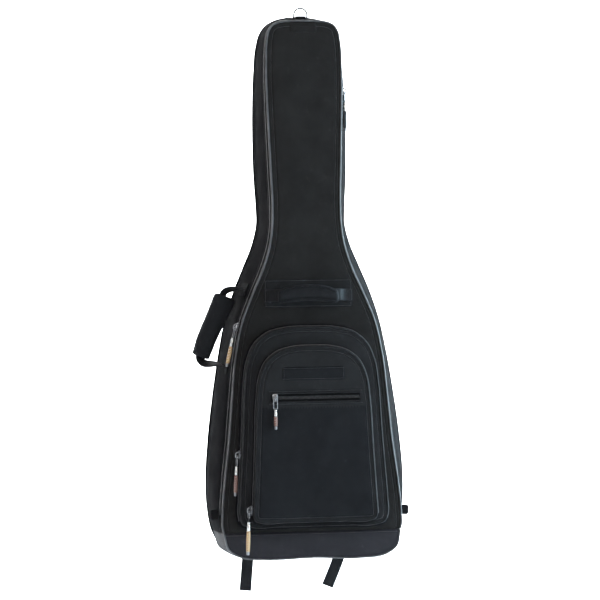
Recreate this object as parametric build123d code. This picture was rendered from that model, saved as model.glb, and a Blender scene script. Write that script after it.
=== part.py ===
from build123d import *
import math
import os

os.makedirs("parts", exist_ok=True)

# ---------------------------------------------------------------- driving dimensions (mm)
# Frame: +Z up, the front faces -Y, +X is to the right seen from the front.
# Origin: the seat of the hanging ring, where a hook carries the bag.
BACK_Y = 50.0            # plane of the back panel's outer face
FRONT_Y_TOP = -32.0      # front panel plane at the head end
FRONT_Y_FOOT = -55.0     # front panel plane at the foot: the bag gets deeper downwards
Z_TOP = -13.0            # top of the gusset
Z_FOOT = -1098.0         # foot of the bag
Z_FOLD = -1044.0         # seam above the bottom guard, where the front flap folds down
SKIN = 1.8               # outer fabric with its backing
FOAM = 12.0              # side foam
LINING = 1.2             # inner lining
Q_FRONT_SKIN = 0.020     # depths as a share of the way from the front plane to the back plane
Q_FRONT_FOAM = 0.155
Q_FRONT_LINING = 0.168
Q_ZIP = 0.191            # the main zip's parting line
Q_REAR_TAPE = 0.255
Q_BACK_LINING = 0.814
Q_BACK_FOAM = 0.829
Q_BACK_SKIN = 0.980
LARGE_DEPTH = 35.0       # large pocket, from the front plane to its outer face
SMALL_DEPTH = 56.0       # small pocket's outer face, from the front plane
LARGE_PART = 18.2        # parting line of the large pocket's zip
SMALL_PART = 44.6        # parting line of the small pocket's zip
PIPE = 2.2               # how far the piping stands out
WEBBING = 24.0           # strap webbing width
PULL_LONG = 80.0         # hanging length of a long pull
PULL_SHORT = 60.0
RING_WIRE = 3.5          # hanging ring's wire
RING_EYE_W = 23.0        # clear width of the ring's eye
RING_BAR_Z = -18.0       # centre of the ring's straight bar

TAN = (FRONT_Y_TOP - FRONT_Y_FOOT) / (Z_TOP - Z_FOOT)
Y0 = FRONT_Y_TOP - Z_TOP * TAN
TILT = math.degrees(math.atan(TAN))
LID = Pos(0, Y0, 0) * Rot(-TILT, 0, 0)   # from the flap's own flat frame to the row frame

# half outlines (x, z), from the top centre down the right side to the foot centre
BACK = [(0, -13), (26, -15), (47, -20), (63, -29), (75, -44), (83, -70), (88.5, -120), (92, -190), (93, -260),
        (92, -330), (88.5, -395), (88, -430), (98, -472), (116, -516), (136, -564), (156, -626), (170, -694),
        (183, -775), (194, -864), (199.5, -945), (197.5, -1000), (189, -1045), (172, -1075), (143, -1091),
        (90, -1097), (0, -1098)]
FRONT = [(0, -28), (26, -28.6), (46, -30.5), (60, -36), (68, -47), (72.5, -72), (74.5, -120), (73.5, -190), (71, -260),
         (68.5, -330), (66.5, -392), (67.5, -432), (73, -474), (87, -520), (108, -568), (132, -628), (146, -696),
         (154, -776), (162, -864), (172, -944), (177.5, -1000), (177, -1040), (165, -1068), (143, -1083),
         (90, -1089.5), (0, -1090.5)]
WAIST = 12               # index where the two spline halves of one side join
# large pocket: outline of its outer face and of its base, in the flap's frame (x, v)
LARGE_FACE = [(0, -640), (50, -642), (85, -651), (110, -672), (125, -706), (132, -755), (136, -830), (141, -910),
              (145.5, -980), (146, -1008), (140, -1024), (126, -1029), (70, -1030), (0, -1030)]
LARGE_BASE = [(0, -633), (52, -635), (89, -645), (116, -668), (132, -704), (139.5, -755), (143.5, -830), (148.5, -910),
              (153, -980), (153.5, -1012), (147, -1031), (130, -1036.5), (72, -1037.5), (0, -1037.5)]
SMALL_FACE = [(0, -678), (40, -680), (70, -689), (91, -707), (104, -736), (110, -780), (114, -860), (118, -940),
              (121, -995), (121.5, -1008), (118, -1017), (110, -1020), (60, -1021), (0, -1021)]
SMALL_BASE = [(0, -672), (42, -674), (74, -684), (96.5, -703), (110, -734), (116.5, -780), (120.5, -860), (124.5, -940),
              (127.5, -995), (128, -1010), (124, -1022), (114, -1025.5), (62, -1026.5), (0, -1026.5)]


def lerp(a, b, q):
    return a + (b - a) * q


def shrink(pts, d):
    """Move each point of a half outline inwards by d."""
    out = []
    for i, (x, z) in enumerate(pts):
        if i == 0:
            out.append((0.0, z - d))
        elif i == len(pts) - 1:
            out.append((0.0, z + d))
        else:
            tx, tz = pts[i + 1][0] - pts[i - 1][0], pts[i + 1][1] - pts[i - 1][1]
            length = math.hypot(tx, tz)
            out.append((x + tz / length * d, z - tx / length * d))
    return out


def outline_wire(pts, y_of, join):
    """A closed wire of four spline edges: right upper, right lower, left lower, left upper."""
    r = [Vector(x, y_of(z), z) for x, z in pts]
    l = [Vector(-x, y_of(z), z) for x, z in pts][::-1]
    j = len(l) - 1 - join
    t = (r[join + 1] - r[join - 1]).normalized()
    back = (l[j + 1] - l[j - 1]).normalized()
    return Wire([
        Edge.make_spline(r[:join + 1], tangents=[Vector(1, 0, 0), t]),
        Edge.make_spline(r[join:], tangents=[t, Vector(-1, 0, 0)]),
        Edge.make_spline(l[:j + 1], tangents=[Vector(-1, 0, 0), back]),
        Edge.make_spline(l[j:], tangents=[back, Vector(1, 0, 0)]),
    ])


def depth_y(q, z):
    return (1 - q) * (Y0 + z * TAN) + q * BACK_Y


def half(q, inset=0.0):
    return shrink([(lerp(f[0], b[0], q), lerp(f[1], b[1], q)) for f, b in zip(FRONT, BACK)], inset)


def body(inset, q0, q1):
    """The bag's own form between two depths, taken in by inset."""
    wires = [outline_wire(half(q, inset), lambda z, q=q: depth_y(q, z), WAIST) for q in (q0, q1)]
    return Solid.make_loft(wires, ruled=True)


def band(i0, i1, q0, q1):
    """A hoop of the bag's side between two depths and two insets."""
    return body(i0, q0, q1) - body(i1, q0 - 0.03, q1 + 0.03)


def above(s, z):
    return s - Pos(0, 0, z - 1000) * Box(2000, 2000, 2000)


def below(s, z):
    return s - Pos(0, 0, z + 1000) * Box(2000, 2000, 2000)


def pocket(face, base, w_base, w_face, inset, w0, w1):
    """A pocket's form between two heights above the front plane, in the flap's frame."""
    wires = []
    for w in (w0, w1):
        q = (w - w_base) / (w_face - w_base)
        pts = shrink([(lerp(b[0], f[0], q), lerp(b[1], f[1], q)) for f, b in zip(face, base)], inset)
        wires.append(outline_wire(pts, lambda z, w=w: -w, 5))
    return Solid.make_loft(wires, ruled=True)


def large(inset, w0, w1):
    return pocket(LARGE_FACE, LARGE_BASE, 0.0, LARGE_DEPTH, inset, w0, w1)


def small(inset, w0, w1):
    return pocket(SMALL_FACE, SMALL_BASE, LARGE_DEPTH, SMALL_DEPTH, inset, w0, w1)


def side_point(z, q, side):
    """Point, upward tangent and outward normal of the bag's side surface at height z and depth q."""
    def at(zz, qq):
        pts = half(qq)
        for a, b in zip(pts[3:-3], pts[4:-2]):
            if a[1] >= zz >= b[1]:
                k = (a[1] - zz) / (a[1] - b[1])
                return Vector(side * lerp(a[0], b[0], k), depth_y(qq, zz), zz)
        raise ValueError("height outside the side")
    p = at(z, q)
    up = (at(z + 12, q) - at(z - 12, q)).normalized()
    across = (at(z, q + 0.03) - at(z, q - 0.03)).normalized()
    n = up.cross(across).normalized()
    if n.X * side < 0:
        n = n * -1
    return p, up, n


def frame_at(p, up, n):
    """Local frame with +Z along up and -Y outwards."""
    return Plane(origin=p, x_dir=up.cross(n), z_dir=up).location


def save(name, *shapes):
    solids = []
    for s in shapes:
        solids += list(s.solids())
    whole = solids[0] if len(solids) == 1 else Compound(children=solids)
    export_step(whole, f"parts/{name}.step")


# ---------------------------------------------------------------- rear shell
save("back_panel", above(body(0, Q_BACK_SKIN, 1.0), Z_FOLD + 0.4))
save("back_foam", above(body(2.3, Q_BACK_FOAM, Q_BACK_SKIN - 0.002), Z_FOLD + 0.4))
save("rear_gusset", above(band(0, SKIN, Q_REAR_TAPE + 0.002, Q_BACK_SKIN - 0.002), Z_FOLD + 0.4))
save("gusset_foam", above(band(2.1, 2.1 + FOAM, 0.27, Q_BACK_FOAM - 0.002), Z_FOLD + 0.4))
rear_lining = body(2.3 + FOAM, 0.27, Q_BACK_FOAM - 0.003) - body(2.3 + FOAM + LINING, 0.20, Q_BACK_LINING)
save("rear_lining", above(rear_lining, Z_FOLD + 0.4))
rear_hoop = band(-PIPE, -0.35, 0.965, 1.012)
save("main_zip_rear_tape", above(band(0, SKIN, Q_ZIP + 0.003, Q_REAR_TAPE), Z_FOLD + 0.4))
save("bottom_guard", below(body(0, 0, 1.0) - body(1.9, Q_FRONT_SKIN, Q_BACK_SKIN), Z_FOLD - 0.4))
save("bottom_foam", below(body(2.1, Q_FRONT_SKIN + 0.003, Q_BACK_SKIN - 0.003), Z_FOLD - 0.4)
     - above(body(14.0, 0.16, 0.83), -1072))
save("gusset_piping", rear_hoop, below(band(-PIPE, -0.35, -0.022, 0.022), Z_FOLD - 4.0))

# neck rest: a foam block with a U-shaped notch, on the back lining
rest_w, rest_h, rest_z = 116.0, 72.0, -366.0
notch_w, notch_d = 56.0, 22.0
rest = Pos(0, (33.0 - 2.0) / 2, rest_z) * Box(rest_w, 35.0, rest_h)
rest = fillet(rest.edges().filter_by(Axis.Z), 6)
notch = Pos(0, -2.0 + notch_d / 2 - 5, rest_z) * Box(notch_w, notch_d + 10, rest_h + 10)
notch = fillet(notch.edges().filter_by(Axis.Z), 9)
save("neck_rest", rest - notch)
strap_y = -4.6
save("neck_strap", Pos(-3, strap_y, rest_z) * Box(94, 2.6, 26))

# hanging ring: a D-shaped wire ring whose straight bar lies in the tab's loop
r_wire = RING_WIRE / 2
eye_r = RING_EYE_W / 2
arch_z = -eye_r           # centre of the ring's arch; the seat of the hook is at z = 0
arch = Pos(0, 0, arch_z) * Rot(90, 0, 0) * Torus(eye_r + r_wire, r_wire)
arch = arch - Pos(0, 0, arch_z - 50) * Box(200, 200, 100)
leg_len = arch_z - RING_BAR_Z
x_leg = eye_r + r_wire
ring_shape = arch
for s in (-1, 1):
    ring_shape = ring_shape + Pos(s * x_leg, 0, arch_z - leg_len / 2) * Cylinder(r_wire, leg_len)
    ring_shape = ring_shape + Pos(s * x_leg, 0, RING_BAR_Z) * Sphere(r_wire)
ring_shape = ring_shape + Pos(0, 0, RING_BAR_Z) * Rot(0, 90, 0) * Cylinder(r_wire, 2 * x_leg)
save("hanging_ring", ring_shape)
# tab: webbing folded round the bar and sewn down over the head end, behind the zip
loop = Pos(0, 0, RING_BAR_Z) * Rot(0, 90, 0) * Cylinder(r_wire + 2.6, 20.0)
loop = loop - Pos(0, 0, RING_BAR_Z) * Rot(0, 90, 0) * Cylinder(r_wire + 0.06, 40.0)
pad = body(-2.6, 0.42, 0.955) - body(-0.3, 0.3, 1.1)
pad = pad & (Pos(0, 0, -20) * Box(48, 300, 60))
keep_out = Pos(0, 0, RING_BAR_Z) * Rot(0, 90, 0) * Cylinder(r_wire + 0.06, 40.0)
tab = (loop + pad) - keep_out
for s in (-1, 1):
    tab = tab - Pos(s * (x_leg - 0.5), 0, RING_BAR_Z + 4) * Box(5.6, 8, 18)
tab = tab - body(-0.3, 0.0, 1.1)
save("ring_tab", *[x for x in tab.solids() if x.volume > 50])

# side handle on the left gusset
q_handle = 0.52
h_top, h_low = -562.0, -716.0
pa, ua, na = side_point(h_top, q_handle, -1)
pb, ub, nb = side_point(h_low, q_handle, -1)
anchors = []
for p, u, n in ((pa, ua, na), (pb, ub, nb)):
    anchors.append(frame_at(p + n * 2.6, u, n) * (Pos(0, 0, 0) * Box(30, 3.2, 26)))
save("side_handle_anchors", *anchors)
hy = (pa.Y + pb.Y) / 2
g1 = Vector(-167.6, hy, -578.0)
g2 = Vector(-211.4, hy, -688.0)
gd = (g2 - g1).normalized()
grip_pl = Plane(origin=(g1 + g2) * 0.5, x_dir=(0, 1, 0), z_dir=gd)
grip = Cylinder(16.5, (g2 - g1).length + 14)
grip = fillet(grip.edges().filter_by(GeomType.CIRCLE), 5)
core = Box(27.0, 4.2, 400)
save("side_handle_grip", (grip_pl.location * grip) - (grip_pl.location * core))


def ribbon(points, y_mid, width, thick):
    """Webbing standing on edge: a path in XZ, thickened in the path's plane and extruded along Y."""
    up, dn = [], []
    for i, (x, z) in enumerate(points):
        a = points[max(i - 1, 0)]
        b = points[min(i + 1, len(points) - 1)]
        tx, tz = b[0] - a[0], b[1] - a[1]
        length = math.hypot(tx, tz)
        nx, nz = -tz / length, tx / length
        up.append((x + nx * thick / 2, z + nz * thick / 2))
        dn.append((x - nx * thick / 2, z - nz * thick / 2))
    face = make_face(Polyline([Vector(x, y_mid - width / 2, z) for x, z in up + dn[::-1] + [up[0]]]))
    return extrude(face, amount=width, dir=(0, 1, 0))


out_a = pa + na * 9.6
out_b = pb + nb * 9.6
e1 = g1 - gd * 9
e2 = g2 + gd * 9
web = ribbon([(out_a.X, out_a.Z), (out_a.X - 6, out_a.Z - 6), (e1.X, e1.Z), (g1.X, g1.Z), (g2.X, g2.Z), (e2.X, e2.Z),
              (e2.X + 2, e2.Z - 12), (out_b.X - 12, out_b.Z - 4), (out_b.X, out_b.Z)], hy, 25.0, 2.6)
for p, u, n in ((pa, ua, na), (pb, ub, nb)):
    web = web - frame_at(p + n * 2.6, u, n) * Box(40, 9.6, 40)   # the webbing turns clear of the sewn anchors
save("side_handle_webbing", *[x for x in web.solids() if x.volume > 200])

# shoulder-strap yoke and lower anchors on the back
yoke = Pos(0, BACK_Y + 2.7, -462) * Box(150, 5.0, 56)
yoke = fillet(yoke.edges().filter_by(Axis.Y), 9)
save("strap_yoke", yoke)
low = []
for s in (-1, 1):
    tri = make_face(Polyline([Vector(s * 126, BACK_Y + 0.4, -1045), Vector(s * 160, BACK_Y + 0.4, -1045),
                              Vector(s * 164, BACK_Y + 0.4, -1066), Vector(s * 140, BACK_Y + 0.4, -1080),
                              Vector(s * 126, BACK_Y + 0.4, -1045)]))
    low.append(extrude(tri, amount=3.6, dir=(0, 1, 0)))
save("lower_strap_anchors", *low)

# shoulder straps
for side, name in ((-1, "left"), (1, "right")):
    top = Vector(side * 42, 0, -495.5)
    end = Vector(side * 95, 0, -862)
    d = (end - top).normalized()
    ang = math.degrees(math.atan2(d.X, -d.Z))
    mid = (top + end) * 0.5
    padlen = (end - top).length
    padbox = Box(58, 11, padlen)
    padbox = fillet(padbox.edges().filter_by(Axis.Y), 12)
    save(f"{name}_strap_pad", Pos(mid.X, 58.0, mid.Z) * Rot(0, -ang, 0) * padbox)
    c = end + d * 14.5
    lock = fillet(Box(37, 6, 27).edges().filter_by(Axis.Y), 3)
    lock = lock - Pos(0, 0, 6.2) * Box(27, 10, 5.2) - Pos(0, 0, -6.2) * Box(27, 10, 5.2)
    save(f"{name}_ladder_lock", Pos(c.X, 56.6, c.Z) * Rot(0, -ang, 0) * lock)
    w_top = end + d * 30.5
    w_low = Vector(side * 143, 0, -1036.0)
    wd = (w_low - w_top).normalized()
    wa = math.degrees(math.atan2(wd.X, -wd.Z))
    wm = (w_top + w_low) * 0.5
    wl = (w_low - w_top).length - 4.0
    save(f"{name}_lower_webbing", Pos(wm.X, 53.6, wm.Z) * Rot(0, -wa, 0) * Box(WEBBING, 2.0, wl))
    if side < 0:
        path = [(c.X, c.Z - 6), (-105, -960), (-113, -1060), (-123, -1172)]
    else:
        path = [(c.X, c.Z - 6), (98, -960), (87, -1050), (69, -1110), (45, -1168)]
    l_pts, r_pts = [], []
    for i, (x, z) in enumerate(path):
        a, b = path[max(i - 1, 0)], path[min(i + 1, len(path) - 1)]
        tx, tz = b[0] - a[0], b[1] - a[1]
        length = math.hypot(tx, tz)
        nx, nz = -tz / length, tx / length
        l_pts.append(Vector(x + nx * 12, 61.4, z + nz * 12))
        r_pts.append(Vector(x - nx * 12, 61.4, z - nz * 12))
    loop_pts = l_pts + r_pts[::-1] + [l_pts[0]]
    save(f"{name}_strap_tail", extrude(make_face(Polyline(loop_pts)), amount=2.0, dir=(0, 1, 0)))

# zip-end tabs, sewn into the gusset beside the two ends of the main zip
tabs = []
for s in (-1, 1):
    p, u, n = side_point(-1008, 0.33, s)
    tabs.append(frame_at(p + n * 9.0, u, n) * fillet(Box(3.0, 15.6, 20).edges().filter_by(Axis.X), 4))
save("zip_end_tabs", *tabs)

# ---------------------------------------------------------------- front flap
save("front_panel", above(body(0, 0, Q_FRONT_SKIN), Z_FOLD + 0.4))
save("front_foam", above(body(2.1, Q_FRONT_SKIN + 0.002, Q_FRONT_FOAM), Z_FOLD + 0.6))
save("front_lining", above(body(3.5, Q_FRONT_FOAM + 0.002, Q_FRONT_LINING), Z_FOLD + 0.8))
save("front_gusset", above(band(0, SKIN, Q_FRONT_SKIN + 0.002, 0.128), Z_FOLD + 0.4))
save("main_zip_front_tape", above(band(0, SKIN, 0.130, Q_ZIP - 0.002), Z_FOLD + 0.4))
save("front_piping", above(band(-PIPE, -0.35, -0.022, 0.022), Z_FOLD + 0.4))
top_patch = Pos(0, -1.4, -40) * Box(54, 2.2, 17)
save("top_patch", LID * fillet(top_patch.edges().filter_by(Axis.Y), 4))

# handle on the flap: patch, sewn anchors, webbing and padded grip
patch = Pos(0, -1.25, -571) * Box(176, 1.9, 56)
handle_v = -575.0
save("front_handle_patch", LID * fillet(patch.edges().filter_by(Axis.Y), 5),
     *[LID * (Pos(s * 82, -3.7, handle_v) * Box(12, 2.6, 30)) for s in (-1, 1)])
w_axis = 5.0             # height of the handle's turning line above the front plane
grip_w = 31.0            # height of the grip's middle above the front plane
arms = []
for s in (-1, 1):
    pts = [(s * 73.5, -w_axis + 1.3), (s * 73.5, -w_axis - 1.3), (s * 64, -grip_w + 6), (s * 55, -grip_w - 1.5),
           (s * 55, -grip_w + 1.5), (s * 62, -grip_w + 10)]
    f = make_face(Polyline([Vector(x, y, handle_v - 12) for x, y in pts + [pts[0]]]))
    arms.append(extrude(f, amount=24, dir=(0, 0, 1)))
bar = Pos(0, -grip_w, handle_v) * Box(110.2, 3.0, 24)
web = arms[0] + bar + arms[1]
# the webbing's ends are tapered, so that they turn clear of the patch over 30 degrees each way
wedge = make_face(Polyline([Vector(-200, -w_axis + 2.7, handle_v), Vector(-200, -w_axis - 20.3, handle_v + 40),
                            Vector(-200, 40, handle_v + 40), Vector(-200, 40, handle_v - 40),
                            Vector(-200, -w_axis - 20.3, handle_v - 40), Vector(-200, -w_axis + 2.7, handle_v)]))
web = web - extrude(wedge, amount=400, dir=(1, 0, 0))
save("front_handle_webbing", LID * web)
tube = Pos(0, -grip_w, handle_v) * Rot(0, 90, 0) * extrude(Ellipse(16.0, 9.0), amount=54, both=True)
tube = tube - Pos(0, -grip_w, handle_v) * Box(200, 3.4, 24.4)
save("front_handle_grip", LID * tube)

# ---------------------------------------------------------------- pockets on the flap
save("large_pocket_rear_gusset", LID * (large(0, 0.4, 13.8) - large(SKIN, -3, 17)))
save("large_pocket_rear_tape", LID * (large(0, 14.0, LARGE_PART - 0.25) - large(SKIN, 10, 22)))
save("large_pocket_front_tape", LID * (large(0, LARGE_PART + 0.25, 22.3) - large(SKIN, 14, 26)))
save("large_pocket_front_gusset", LID * (large(0, 22.5, LARGE_DEPTH - 2.8) - large(SKIN, 19, 40)))
save("large_pocket_panel", LID * large(0, LARGE_DEPTH - 2.6, LARGE_DEPTH))
save("small_pocket_rear_gusset", LID * (small(0, LARGE_DEPTH + 0.3, 41.0) - small(SKIN, 30, 45)))
save("small_pocket_rear_tape", LID * (small(0, 41.2, SMALL_PART - 0.25) - small(SKIN, 38, 48)))
save("small_pocket_front_tape", LID * (small(0, SMALL_PART + 0.25, 48.0) - small(SKIN, 41, 52)))
save("small_pocket_front_gusset", LID * (small(0, 48.2, SMALL_DEPTH - 2.7) - small(SKIN, 44, 60)))
save("small_pocket_panel", LID * small(0, SMALL_DEPTH - 2.5, SMALL_DEPTH))
flat_v = -777.0
save("flat_pocket_zip", LID * (Pos(3, -SMALL_DEPTH - 0.95, flat_v) * Box(176, 1.5, 12)))
label = Pos(0, -SMALL_DEPTH - 0.75, -730) * Box(124, 1.1, 26)
save("blank_label", LID * fillet(label.edges().filter_by(Axis.Y), 6))

# ---------------------------------------------------------------- zip sliders and pulls
BAR_Y, BAR_Z = -5.9, -2.1     # the pull's turning bar in the slider's frame (-Y outwards, +Z along the zip)


def slider_shape():
    s = Pos(0, -1.5, 0) * Box(11, 3.0, 16)
    s = fillet(s.edges().filter_by(Axis.Y), 2.5)
    bridge = Pos(0, -6.2, -1.2) * Box(3.2, 6.4, 10.5)
    hole = Pos(0, BAR_Y, BAR_Z) * Box(12, 3.2, 3.2)
    return s + (bridge - hole)


def pull_shape(length, link_gap=0.2, leg=19.0):
    bar = Pos(0, BAR_Y, BAR_Z) * Rot(0, 90, 0) * Cylinder(0.9, 8.8)
    legs = [Pos(x, BAR_Y, BAR_Z - leg / 2) * Box(1.8, 1.8, leg) for x in (-3.5, 3.5)]
    foot = Pos(0, BAR_Y, BAR_Z - leg - 0.5) * Box(8.8, 1.8, 2.4)
    ring = bar + legs[0] + legs[1] + foot
    z = BAR_Z - leg - 1.7 - link_gap
    ferrule = Pos(0, BAR_Y, z - 4.5) * Cylinder(3.0, 9.0)
    sleeve_len = length - leg - 1.9 - 9.0 - 7.0 - 0.4
    sleeve = Pos(0, BAR_Y, z - 9.2 - sleeve_len / 2) * Cylinder(3.6, sleeve_len)
    cap = Pos(0, BAR_Y, z - 9.4 - sleeve_len - 3.5) * Cylinder(3.1, 7.0)
    return ring, ferrule, sleeve, cap


LINK_LEG = 13.0           # the small pocket's ring is short, and its sleeve hangs from it on a cord loop
GAP = 1.2                 # sliders ride this far above the fabric, on the coil
MAIN_Q = 0.19
places = {}
p, u, n = side_point(-636, MAIN_Q, -1)
places["main_left"] = (p + n * GAP, u, n, PULL_LONG)
p, u, n = side_point(-166, MAIN_Q, 1)
places["main_right"] = (p + n * GAP, u, n, PULL_LONG)


def pocket_side(face, base, w_base, w_face, v, w):
    """Point, upward tangent and outward normal on the left side of a pocket, in the flap's frame."""
    def at(vv, ww):
        q = (ww - w_base) / (w_face - w_base)
        pts = [(lerp(b[0], f[0], q), lerp(b[1], f[1], q)) for f, b in zip(face, base)]
        for a, b in zip(pts[4:-2], pts[5:-1]):
            if a[1] >= vv >= b[1]:
                k = (a[1] - vv) / (a[1] - b[1])
                return Vector(-lerp(a[0], b[0], k), -ww, vv)
        raise ValueError("height outside the pocket's side")
    p0 = at(v, w)
    up = (at(v + 8, w) - at(v - 8, w)).normalized()
    across = (at(v, w + 3) - at(v, w - 3)).normalized()
    nn = up.cross(across).normalized()
    if nn.X > 0:
        nn = nn * -1
    return p0, up, nn


def to_row(v, point=True):
    a = math.radians(-TILT)
    y, z = v.Y * math.cos(a) - v.Z * math.sin(a), v.Y * math.sin(a) + v.Z * math.cos(a)
    return Vector(v.X, y + (Y0 if point else 0), z)


for key, args in (("large_pocket", (LARGE_FACE, LARGE_BASE, 0.0, LARGE_DEPTH, -888, LARGE_PART)),
                  ("small_pocket", (SMALL_FACE, SMALL_BASE, LARGE_DEPTH, SMALL_DEPTH, -996, SMALL_PART))):
    p, u, n = pocket_side(*args)
    places[key] = (to_row(p + n * GAP), to_row(u, False), to_row(n, False), PULL_LONG)
# the flat pocket's slider lies across, its pull hangs down
p = Vector(-78, -SMALL_DEPTH - 1.7 - GAP, flat_v)
places["flat_pocket"] = (to_row(p), to_row(Vector(0, 0, 1), False), to_row(Vector(0, -1, 0), False), PULL_SHORT)

places["small_pocket"] = (places["small_pocket"][0] + places["small_pocket"][2] * 0.6,) + places["small_pocket"][1:]
for key, (p, u, n, length) in places.items():
    loc = frame_at(p, u, n)
    save(f"{key}_slider", loc * slider_shape())
    ring_part, ferrule, sleeve, cap = (pull_shape(length, 6.6, LINK_LEG) if key == "small_pocket"
                                       else pull_shape(length))
    if key == "small_pocket":
        # this pull is in two links: the ring on the slider, and the sleeve that hangs from the ring
        save("small_pocket_pull_ring", loc * ring_part)
        save("small_pocket_pull", loc * ferrule, loc * sleeve, loc * cap)
    else:
        save(f"{key}_pull", loc * ring_part, loc * ferrule, loc * sleeve, loc * cap)
    bar = loc.position + Vector(0, 0, 0)
    b = p + (n * -BAR_Y) + (u * BAR_Z)
    x = u.cross(n)
    print("PIVOT", key, "pos", [round(c, 3) for c in (b.X, b.Y, b.Z)], "axis", [round(c, 5) for c in (x.X, x.Y, x.Z)],
          "up", [round(c, 5) for c in (u.X, u.Y, u.Z)], "n", [round(c, 5) for c in (n.X, n.Y, n.Z)],
          "origin", [round(c, 3) for c in (p.X, p.Y, p.Z)])
    if key == "small_pocket":
        b2 = b + u * -(LINK_LEG + 0.5)
        print("PIVOT small_pocket_link2", [round(c, 3) for c in (b2.X, b2.Y, b2.Z)])
print("HANDLE side", [round(c, 3) for c in (pa.X, pa.Y, pa.Z)], [round(c, 3) for c in (pb.X, pb.Y, pb.Z)], "outs",
      [round(c, 3) for c in (out_a.X, out_a.Y, out_a.Z)], [round(c, 3) for c in (out_b.X, out_b.Y, out_b.Z)])
hv = to_row(Vector(0, -w_axis, handle_v))
print("HANDLE front axis", round(hv.Y, 3), round(hv.Z, 3))
print("FOLD axis", round(depth_y(0, Z_FOLD), 3), Z_FOLD)
for nm, w, v in (("large", LARGE_PART, -1037.5), ("small", SMALL_PART, -1026.5)):
    q = to_row(Vector(0, -w, v))
    print("HINGE", nm, round(q.Y, 3), round(q.Z, 3))
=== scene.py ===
import math

import bmesh
import bpy
import numpy as np
from mathutils import Matrix, Vector, noise
from mathutils.geometry import delaunay_2d_cdt


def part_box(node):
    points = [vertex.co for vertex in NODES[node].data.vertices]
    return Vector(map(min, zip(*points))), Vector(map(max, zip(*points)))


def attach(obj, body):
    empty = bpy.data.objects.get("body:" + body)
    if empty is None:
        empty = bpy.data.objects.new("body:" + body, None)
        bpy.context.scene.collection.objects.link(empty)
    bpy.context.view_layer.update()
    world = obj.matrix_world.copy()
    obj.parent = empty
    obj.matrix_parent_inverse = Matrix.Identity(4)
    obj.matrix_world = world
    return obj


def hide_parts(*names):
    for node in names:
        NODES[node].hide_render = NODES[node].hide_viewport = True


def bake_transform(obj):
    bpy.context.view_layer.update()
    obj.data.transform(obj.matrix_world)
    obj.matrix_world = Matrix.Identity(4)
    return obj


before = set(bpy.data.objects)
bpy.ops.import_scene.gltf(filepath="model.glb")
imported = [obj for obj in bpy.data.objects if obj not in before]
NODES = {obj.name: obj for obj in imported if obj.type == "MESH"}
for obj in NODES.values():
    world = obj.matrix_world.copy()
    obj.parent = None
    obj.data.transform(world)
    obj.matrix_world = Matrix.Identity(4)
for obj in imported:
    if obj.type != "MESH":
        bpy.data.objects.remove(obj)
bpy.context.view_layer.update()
MM = 0.001

# ------------------------------------------------------------------ the bag's form, in mm, as in the CAD
BACK_Y, FRONT_Y_TOP, FRONT_Y_FOOT = 50.0, -32.0, -55.0
Z_TOP, Z_FOOT, Z_FOLD = -13.0, -1098.0, -1044.0
TAN = (FRONT_Y_TOP - FRONT_Y_FOOT) / (Z_TOP - Z_FOOT)
Y0 = FRONT_Y_TOP - Z_TOP * TAN
TILT = math.atan(TAN)
LARGE_DEPTH, SMALL_DEPTH, LARGE_PART, SMALL_PART = 35.0, 56.0, 18.2, 44.6
BACK = np.array([(0, -13), (26, -15), (47, -20), (63, -29), (75, -44), (83, -70), (88.5, -120), (92, -190), (93, -260),
        (92, -330), (88.5, -395), (88, -430), (98, -472), (116, -516), (136, -564), (156, -626), (170, -694),
        (183, -775), (194, -864), (199.5, -945), (197.5, -1000), (189, -1045), (172, -1075), (143, -1091),
        (90, -1097), (0, -1098)], float)
FRONT = np.array([(0, -28), (26, -28.6), (46, -30.5), (60, -36), (68, -47), (72.5, -72), (74.5, -120), (73.5, -190), (71, -260),
         (68.5, -330), (66.5, -392), (67.5, -432), (73, -474), (87, -520), (108, -568), (132, -628), (146, -696),
         (154, -776), (162, -864), (172, -944), (177.5, -1000), (177, -1040), (165, -1068), (143, -1083),
         (90, -1089.5), (0, -1090.5)], float)
LARGE_FACE = np.array([(0, -640), (50, -642), (85, -651), (110, -672), (125, -706), (132, -755), (136, -830), (141, -910),
              (145.5, -980), (146, -1008), (140, -1024), (126, -1029), (70, -1030), (0, -1030)], float)
LARGE_BASE = np.array([(0, -633), (52, -635), (89, -645), (116, -668), (132, -704), (139.5, -755), (143.5, -830), (148.5, -910),
              (153, -980), (153.5, -1012), (147, -1031), (130, -1036.5), (72, -1037.5), (0, -1037.5)], float)
SMALL_FACE = np.array([(0, -678), (40, -680), (70, -689), (91, -707), (104, -736), (110, -780), (114, -860), (118, -940),
              (121, -995), (121.5, -1008), (118, -1017), (110, -1020), (60, -1021), (0, -1021)], float)
SMALL_BASE = np.array([(0, -672), (42, -674), (74, -684), (96.5, -703), (110, -734), (116.5, -780), (120.5, -860), (124.5, -940),
              (127.5, -995), (128, -1010), (124, -1022), (114, -1025.5), (62, -1026.5), (0, -1026.5)], float)


def shrink(pts, d):
    out = pts.copy()
    t = pts[2:] - pts[:-2]
    length = np.hypot(t[:, 0], t[:, 1])[:, None]
    out[1:-1] = pts[1:-1] + np.stack([t[:, 1], -t[:, 0]], 1) / length * d
    out[0] = (0, pts[0, 1] - d)
    out[-1] = (0, pts[-1, 1] + d)
    return out


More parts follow.
